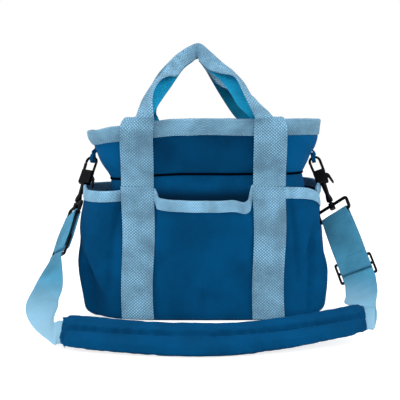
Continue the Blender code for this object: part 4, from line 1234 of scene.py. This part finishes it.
def strap_stations(pull):
    """Middle points and directions across the webbing, from its sewn tail to the inside of the pad."""
    def station(along, out):
        matrix = twisted_frame(pull, along)
        return matrix @ Vector((along, 0.0, out)), matrix.to_3x3() @ Vector((0.0, 1.0, 0.0))

    # Round the slider's bar, up to the eye, round the eye and back down
    stop = SLIDER_DISTANCE[pull.side]
    arc = [math.pi * step / 12 for step in range(13)]
    wrap = stop + SLIDER_WRAP_SHIFT
    path = [(stop - SLIDER_TAIL, SLIDER_OUT - SLIDER_WRAP)]
    path += [(wrap + SLIDER_WRAP * math.sin(a), SLIDER_OUT - SLIDER_WRAP * math.cos(a)) for a in arc]
    doubled = [mix(twist_end(pull), EYE_SLOT_DISTANCE, step / 12) for step in range(12)]
    path += [(along, EYE_WRAP) for along in doubled]
    path += [(EYE_SLOT_DISTANCE - EYE_WRAP * math.sin(a), EYE_WRAP * math.cos(a)) for a in arc]
    path += [(along, -EYE_WRAP) for along in reversed(doubled)]

    # Over the slider's far bar
    crossing = [(0.0010, -EYE_WRAP), (0.0035, 0.0010 - EYE_WRAP), (0.0078, EYE_WRAP - 0.0008),
                (0.0100, EYE_WRAP + 0.0002), (SLIDER_EXIT, EYE_WRAP + 0.0002)]
    path += [(stop + along, out) for along, out in crossing]
    stations = [station(along, out) for along, out in path]

    # Down to the floor and into the pad
    left = pull.side == "left"
    turn = 1.0 if left else -1.0
    shares = (-PAD_LEAD, 0.0, PAD_INSERT) if left else (1.0 + PAD_LEAD, 1.0, 1.0 - PAD_INSERT)
    route = [stations[-1]] + [(Vector(point), Vector(side)) for point, side in FREE_ROUTE[pull.side]]
    route += [(pad_frame(share, 0.5)[0], pad_lean(share) * turn) for share in shares]
    points = smooth_route([point for point, side in route], 12)
    sides = smooth_route([side for point, side in route], 12)
    return stations + list(zip(points, sides))[1:]


def band_mesh(stations, width, rows, ripple=0.0):
    """Flat webbing along stations, with a map in metres."""
    last = len(stations) - 1
    lengths = [0.0]
    for index in range(last):
        lengths.append(lengths[-1] + (stations[index + 1][0] - stations[index][0]).length)

    def place(u, v):
        index = min(int(round(u * last)), last)
        point, across = stations[index]
        before = stations[max(index - 1, 0)][0]
        after = stations[min(index + 1, last)][0]
        normal = (after - before).cross(across).normalized()
        wave = ripple * ruffle(lengths[index] * 40.0, v * 2.0, 0.0)
        return point + across.normalized() * width * (v - 0.5) + normal * wave

    band = sheet_mesh(last, rows, place, (1.0, width))
    map_lengths(band, lengths)
    return band


def smooth_pairs(pairs):
    """Points and directions with more steps between them."""
    points = smooth_route([point for point, side in pairs], 5)
    sides = smooth_route([side for point, side in pairs], 5)
    return list(zip(points, sides))


class BAG_OT_hardware(bpy.types.Operator):
    """Finish the hardware and the base board, and make the two hook tabs"""
    bl_idname = "bag.hardware"
    bl_label = "Hooks, sliders and tabs"

    def execute(self, context):
        for name, node in NODES.items():
            if any(word in name for word in ("hook", "gate", "eye", "slider")) and "tab" not in name:
                self.refinish(node, "black_plastic")
        self.refinish(NODES["base_board"], "stiff_board")
        for pull in PULLS:
            self.make_tab(pull)
        return {"FINISHED"}

    def refinish(self, node, label):
        node.data.materials.clear()
        node.data.materials.append(finish(label))

    def make_tab(self, pull):
        """A strip whose loop faces the hook, and whose two layers turn flat against the wall above."""
        centre = pull.top - Vector((0.0, 0.0, 0.001))
        level = pull.frame(HOOK_TURN).to_3x3() @ Vector((0.0, 1.0, 0.0))
        start = math.atan2(level.y, level.x)
        reach = TAB_LOOP_RADIUS + TAB_CLOTH / 2

        def wall_x(z):
            return wall_half(z).x + TAB_STAND + TAB_CLOTH + GAP / 2

        def layer(share, z, side):
            angle = mix(start, math.pi / 2, share)
            apart = mix(reach, (TAB_CLOTH + GAP) / 2, share)
            x = pull.sign * mix(abs(centre.x), wall_x(z), share * share)
            spread = Vector((-math.sin(angle), math.cos(angle), 0.0)) * apart * side
            return Vector((x, centre.y, z)) + spread, Vector((math.cos(angle), math.sin(angle), 0.0))

        def foot(side):
            spread = Vector((-1.0, 0.0, 0.0)) * (TAB_CLOTH + GAP) / 2 * side
            place = Vector((pull.sign * wall_x(TAB_FOOT_HEIGHT), centre.y, TAB_FOOT_HEIGHT))
            return place + spread, Vector((0.0, 1.0, 0.0))

        sag = (pull.down * 2.0 - Vector((0.0, 0.0, 1.0))).normalized()
        across = (level - sag * level.dot(sag)).normalized()
        spread = across.cross(sag)
        arc = [math.pi * step / 14 for step in range(15)]
        bend = [(centre + (spread * math.cos(a) + sag * math.sin(a)) * reach, across) for a in arc]
        near = smooth_pairs([foot(1.0)] + [layer(share, z, 1.0) for share, z in reversed(TAB_TWIST)])
        far = smooth_pairs([layer(share, z, -1.0) for share, z in TAB_TWIST] + [foot(-1.0)])
        band = band_mesh(near + bend + far, TAB_WIDTH, 6)
        name = pull.side + "_hook_tab"
        piece = add_piece(name + "_cloth", band, ["petrol_cloth"], "bag", [name])
        thicken(piece, TAB_CLOTH, offset=0.0)


class BAG_OT_strap(bpy.types.Operator):
    """Make the shoulder strap's webbing and the stitches that hold its loops"""
    bl_idname = "bag.strap"
    bl_label = "Shoulder strap"

    def execute(self, context):
        for pull in PULLS:
            band = band_mesh(strap_stations(pull), STRAP_WIDTH, 14, ripple=0.0006)
            name = pull.side + "_strap_webbing"
            piece = add_piece(name + "_band", band, ["strap_webbing"], "shoulder_strap", [name])
            thicken(piece, STRAP_WEBBING, offset=0.0)
            self.make_stitches(pull)
        return {"FINISHED"}

    def make_stitches(self, pull):
        row = bmesh.new()
        place = SLIDER_DISTANCE[pull.side] - LOOP_STITCH_BACK
        matrix = twisted_frame(pull, place)
        for out in (EYE_WRAP + STRAP_WEBBING / 2, -EYE_WRAP - STRAP_WEBBING / 2):
            near = matrix @ Vector((place, -LOOP_STITCH_REACH, out))
            far = matrix @ Vector((place, LOOP_STITCH_REACH, out))
            line = [near.lerp(far, step / 10) for step in range(11)]
            normal = matrix.to_3x3() @ Vector((0.0, 0.0, math.copysign(1.0, out)))
            add_stitches(row, line, [normal] * len(line), sizes().stitch, sizes().thread)
        name = pull.side + "_loop_stitches"
        add_piece(name, row, ["petrol_thread"], "shoulder_strap", ())


# Shoulder pad

def pad_shape():
    """A closed pillow form round the pad's middle surface, a little thinner than the filled pad."""
    def half(share, across):
        end = clamp(min(share, 1.0 - share) / 0.03) ** 0.5
        edge = clamp(min(across, 1.0 - across) / 0.12) ** 0.5
        return PAD_SEAM / 2 + (PAD_THICKNESS / 2 - PAD_SEAM / 2) * edge * end * PAD_SHRINK

    def place(u, v):
        turn = 2.0 * math.pi * v
        across = 0.5 - 0.5 * math.cos(turn)
        point, out = pad_frame(u, across)
        thick = half(u, across) * math.copysign(abs(math.sin(turn)) ** 0.6, math.sin(turn))
        front = 1.4 if thick > 0.0 else 0.6
        return point + out * thick * front

    extent = ((PAD_RIGHT - PAD_LEFT).length, 2.0 * PAD_WIDTH)
    form = sheet_mesh(PAD_COLUMNS, 2 * PAD_LANES, place, extent)
    bmesh.ops.remove_doubles(form, verts=form.verts, dist=1e-5)
    ends = [edge for edge in form.edges if edge.is_boundary]
    bmesh.ops.holes_fill(form, edges=ends, sides=0)
    bmesh.ops.recalc_face_normals(form, faces=form.faces)
    return form


def apply_modifiers(piece):
    """Bake a piece's modifiers into its mesh."""
    graph = bpy.context.evaluated_depsgraph_get()
    graph.update()
    baked = bpy.data.meshes.new_from_object(piece.evaluated_get(graph))
    piece.modifiers.clear()
    old = piece.data
    piece.data = baked
    bpy.data.meshes.remove(old)
    piece.data.shade_smooth()


def blow_up(piece, pressure, cap):
    """Fill a closed piece as cloth under pressure, with no point moved further than the cap."""
    scene = bpy.context.scene
    before = [vert.co.copy() for vert in piece.data.vertices]
    cloth = piece.modifiers.new("cloth", "CLOTH")
    cloth.settings.quality = 5
    cloth.settings.mass = 0.2
    cloth.settings.tension_stiffness = 20.0
    cloth.settings.compression_stiffness = 8.0
    cloth.settings.bending_stiffness = 0.4
    cloth.settings.use_pressure = True
    cloth.settings.uniform_pressure_force = pressure
    cloth.settings.effector_weights.gravity = 0.0
    cloth.point_cache.frame_start = 1
    cloth.point_cache.frame_end = CLOTH_FRAMES
    for number in range(1, CLOTH_FRAMES + 1):
        scene.frame_set(number)
    apply_modifiers(piece)
    scene.frame_set(1)
    for vert, start in zip(piece.data.vertices, before):
        move = vert.co - start
        if move.length > cap:
            vert.co = start + move * (cap / move.length)


def sew_channels(piece):
    """Draw the pad in along its middle and end seams, roll its edges and pucker them."""
    columns = 200
    lanes = 26
    table = kdtree.KDTree((columns + 1) * (lanes + 1))
    samples = []
    for column in range(columns + 1):
        for lane in range(lanes + 1):
            share = column / columns
            across = lane / lanes
            point, out = pad_frame(share, across)
            table.insert(point, len(samples))
            samples.append((share, across, point, out))
    table.balance()
    for vert in piece.data.vertices:
        share, across, point, out = samples[table.find(vert.co)[1]]
        height = (vert.co - point).dot(out)
        seam = math.copysign(PAD_SEAM / 2, height)
        channel = 0.97 * hump(across, PAD_CHANNEL, 0.060)
        ends = 0.85 * max(hump(share, end, 0.006) for end in PAD_END_SEAMS)
        pull = max(channel, ends)
        moved = mix(height, seam, pull) if abs(height) > abs(seam) else height
        ruck = ruffle(share * 46.0, across * 4.0, 2.0)
        fine = ruffle(share * 120.0, across * 9.0, 6.0)
        edge = hump(min(across, 1.0 - across), 0.10, 0.10)
        edge += 0.7 * hump(across, PAD_CHANNEL, 0.12) * (1.0 - channel)
        moved += math.copysign(1.0, height) * (0.0008 * ruck * edge + 0.0003 * fine * edge)
        vert.co += out * (moved - height)
        vert.co.z = max(vert.co.z, PAD_FLOOR_GAP)
    smoother = piece.modifiers.new("finer_cloth", "SUBSURF")
    smoother.levels = 1
    smoother.render_levels = 1


class BAG_OT_pad(bpy.types.Operator):
    """Make the padded shoulder pad, blown up as cloth, with its sewn channel, ends and stitches"""
    bl_idname = "bag.pad"
    bl_label = "Shoulder pad"

    def execute(self, context):
        piece = add_piece("shoulder_pad", pad_shape(), ["pad_cloth"], "shoulder_strap",
                          ["pad_front_cover", "pad_back_cover", "pad_foam"])
        remesh = piece.modifiers.new("even_cloth", "REMESH")
        remesh.mode = "VOXEL"
        remesh.voxel_size = PAD_VOXEL
        apply_modifiers(piece)
        blow_up(piece, sizes().pad_pressure, PAD_SWELL)
        sew_channels(piece)
        self.make_stitches()
        return {"FINISHED"}

    def make_stitches(self):
        row = bmesh.new()
        lines = [[(step / 200, PAD_CHANNEL) for step in range(2, 199)]]
        for end in PAD_END_SEAMS:
            lines.append([(end, mix(0.06, 0.94, step / 20)) for step in range(21)])
        for line in lines:
            frames = [pad_frame(share, across) for share, across in line]
            for way, depth in ((1.0, PAD_SEAM / 2 + 0.0004), (-1.0, PAD_SEAM / 2 + 0.0002)):
                points = [point + out * way * depth for point, out in frames]
                normals = [out * way for point, out in frames]
                add_stitches(row, points, normals, sizes().stitch, sizes().thread * 0.9)
        add_piece("pad_stitches", row, ["petrol_thread"], "shoulder_strap", ())


# Stage

FLOOR_REACH = 6.0
CAMERA_PLACE = (-0.004, -1.18, 0.237)
CAMERA_TILT = math.radians(85.0)
LAMP_AIM = Vector((0.0, 0.0, 0.12))
WHITE = (1.0, 1.0, 1.0, 1.0)
PAPER_COLOUR = (0.75, 0.75, 0.75, 1.0)
SHADED_COLOUR = (0.60, 0.60, 0.61, 1.0)
FLOOR_GLOW = 0.765
SKY_LIGHT = 0.40

# Soft lamps: name, place, width and power
LAMPS = (("left", (-1.6, -0.5, 1.0), 1.2, 22.0),
         ("right", (1.6, -0.4, 0.9), 1.2, 18.0),
         ("top", (0.0, -0.3, 1.9), 1.4, 20.0),
         ("front", (0.2, -2.1, 0.35), 1.2, 18.0))


def floor_finish():
    """White to the camera with the object's soft shadow, and plain pale paper to every other ray."""
    made = bpy.data.materials.new("pale_floor")
    made.use_nodes = True
    tree = made.node_tree
    tree.nodes.clear()
    start = Wire(tree)
    seen = start.node("ShaderNodeLightPath", output=0)
    shadowed = start.node("ShaderNodeBsdfDiffuse", None, {"Color": SHADED_COLOUR})
    glow = start.node("ShaderNodeEmission", None, {"Color": WHITE, "Strength": FLOOR_GLOW})
    camera = start.node("ShaderNodeAddShader", None, {0: shadowed, 1: glow})
    paper = start.node("ShaderNodeBsdfDiffuse", None, {"Color": PAPER_COLOUR})
    both = start.node("ShaderNodeMixShader", None, {0: seen, 1: paper, 2: camera})
    start.node("ShaderNodeOutputMaterial", None, {"Surface": both})
    return made


class BAG_OT_stage(bpy.types.Operator):
    """Make the floor, the light and the camera"""
    bl_idname = "bag.stage"
    bl_label = "Stage"

    def execute(self, context):
        self.make_floor()
        self.make_light(context.scene)
        self.make_camera(context.scene)
        context.scene.view_settings.view_transform = "Standard"
        return {"FINISHED"}

    def make_floor(self):
        plane = bmesh.new()
        bmesh.ops.create_grid(plane, x_segments=1, y_segments=1, size=FLOOR_REACH)
        mesh = bpy.data.meshes.new("floor")
        plane.to_mesh(mesh)
        plane.free()
        mesh.materials.append(floor_finish())
        piece = bpy.data.objects.new("floor", mesh)
        bpy.context.scene.collection.objects.link(piece)

    def make_light(self, scene):
        world = bpy.data.worlds.new("studio")
        scene.world = world
        world.use_nodes = True
        start = Wire(world.node_tree)
        background = world.node_tree.nodes["Background"]
        seen = start.node("ShaderNodeLightPath", output=0)
        strength = seen * (1.0 - SKY_LIGHT) + SKY_LIGHT
        background.inputs["Color"].default_value = WHITE
        world.node_tree.links.new(strength.socket, background.inputs["Strength"])
        for name, place, size, power in LAMPS:
            lamp = bpy.data.lights.new(name, "AREA")
            lamp.size = size
            lamp.energy = power
            holder = bpy.data.objects.new(name, lamp)
            holder.location = place
            aim = LAMP_AIM - holder.location
            holder.rotation_euler = aim.to_track_quat("-Z", "Y").to_euler()
            scene.collection.objects.link(holder)

    def make_camera(self, scene):
        view = bpy.data.cameras.new("photo_camera")
        view.lens = sizes().lens
        view.sensor_width = 36.0
        camera = bpy.data.objects.new("photo_camera", view)
        camera.location = CAMERA_PLACE
        camera.rotation_euler = (CAMERA_TILT, 0.0, 0.0)
        scene.collection.objects.link(camera)
        scene.camera = camera


OPERATORS = (BAG_OT_shell, BAG_OT_rim, BAG_OT_pockets, BAG_OT_handles, BAG_OT_hardware, BAG_OT_strap,
             BAG_OT_pad, BAG_OT_stage)


class BAG_PT_panel(bpy.types.Panel):
    """The bag's pieces, in the order in which they are made"""
    bl_idname = "BAG_PT_panel"
    bl_label = "Grooming bag"
    bl_space_type = "VIEW_3D"
    bl_region_type = "UI"
    bl_category = "Bag"

    def draw(self, context):
        for group in (context.scene.bag_sizes, context.scene.bag_colours):
            for name in group.__annotations__:
                self.layout.prop(group, name)
        for operator in OPERATORS:
            self.layout.operator(operator.bl_idname)


CLASSES = (BagSizes, BagColours) + OPERATORS + (BAG_PT_panel,)


def register():
    for item in CLASSES:
        bpy.utils.register_class(item)
    bpy.types.Scene.bag_sizes = bpy.props.PointerProperty(type=BagSizes)
    bpy.types.Scene.bag_colours = bpy.props.PointerProperty(type=BagColours)


def unregister():
    del bpy.types.Scene.bag_colours
    del bpy.types.Scene.bag_sizes
    for item in reversed(CLASSES):
        bpy.utils.unregister_class(item)


def main():
    register()
    for operator in OPERATORS:
        group, name = operator.bl_idname.split(".")
        getattr(getattr(bpy.ops, group), name)()


if __name__ == "__main__":
    main()
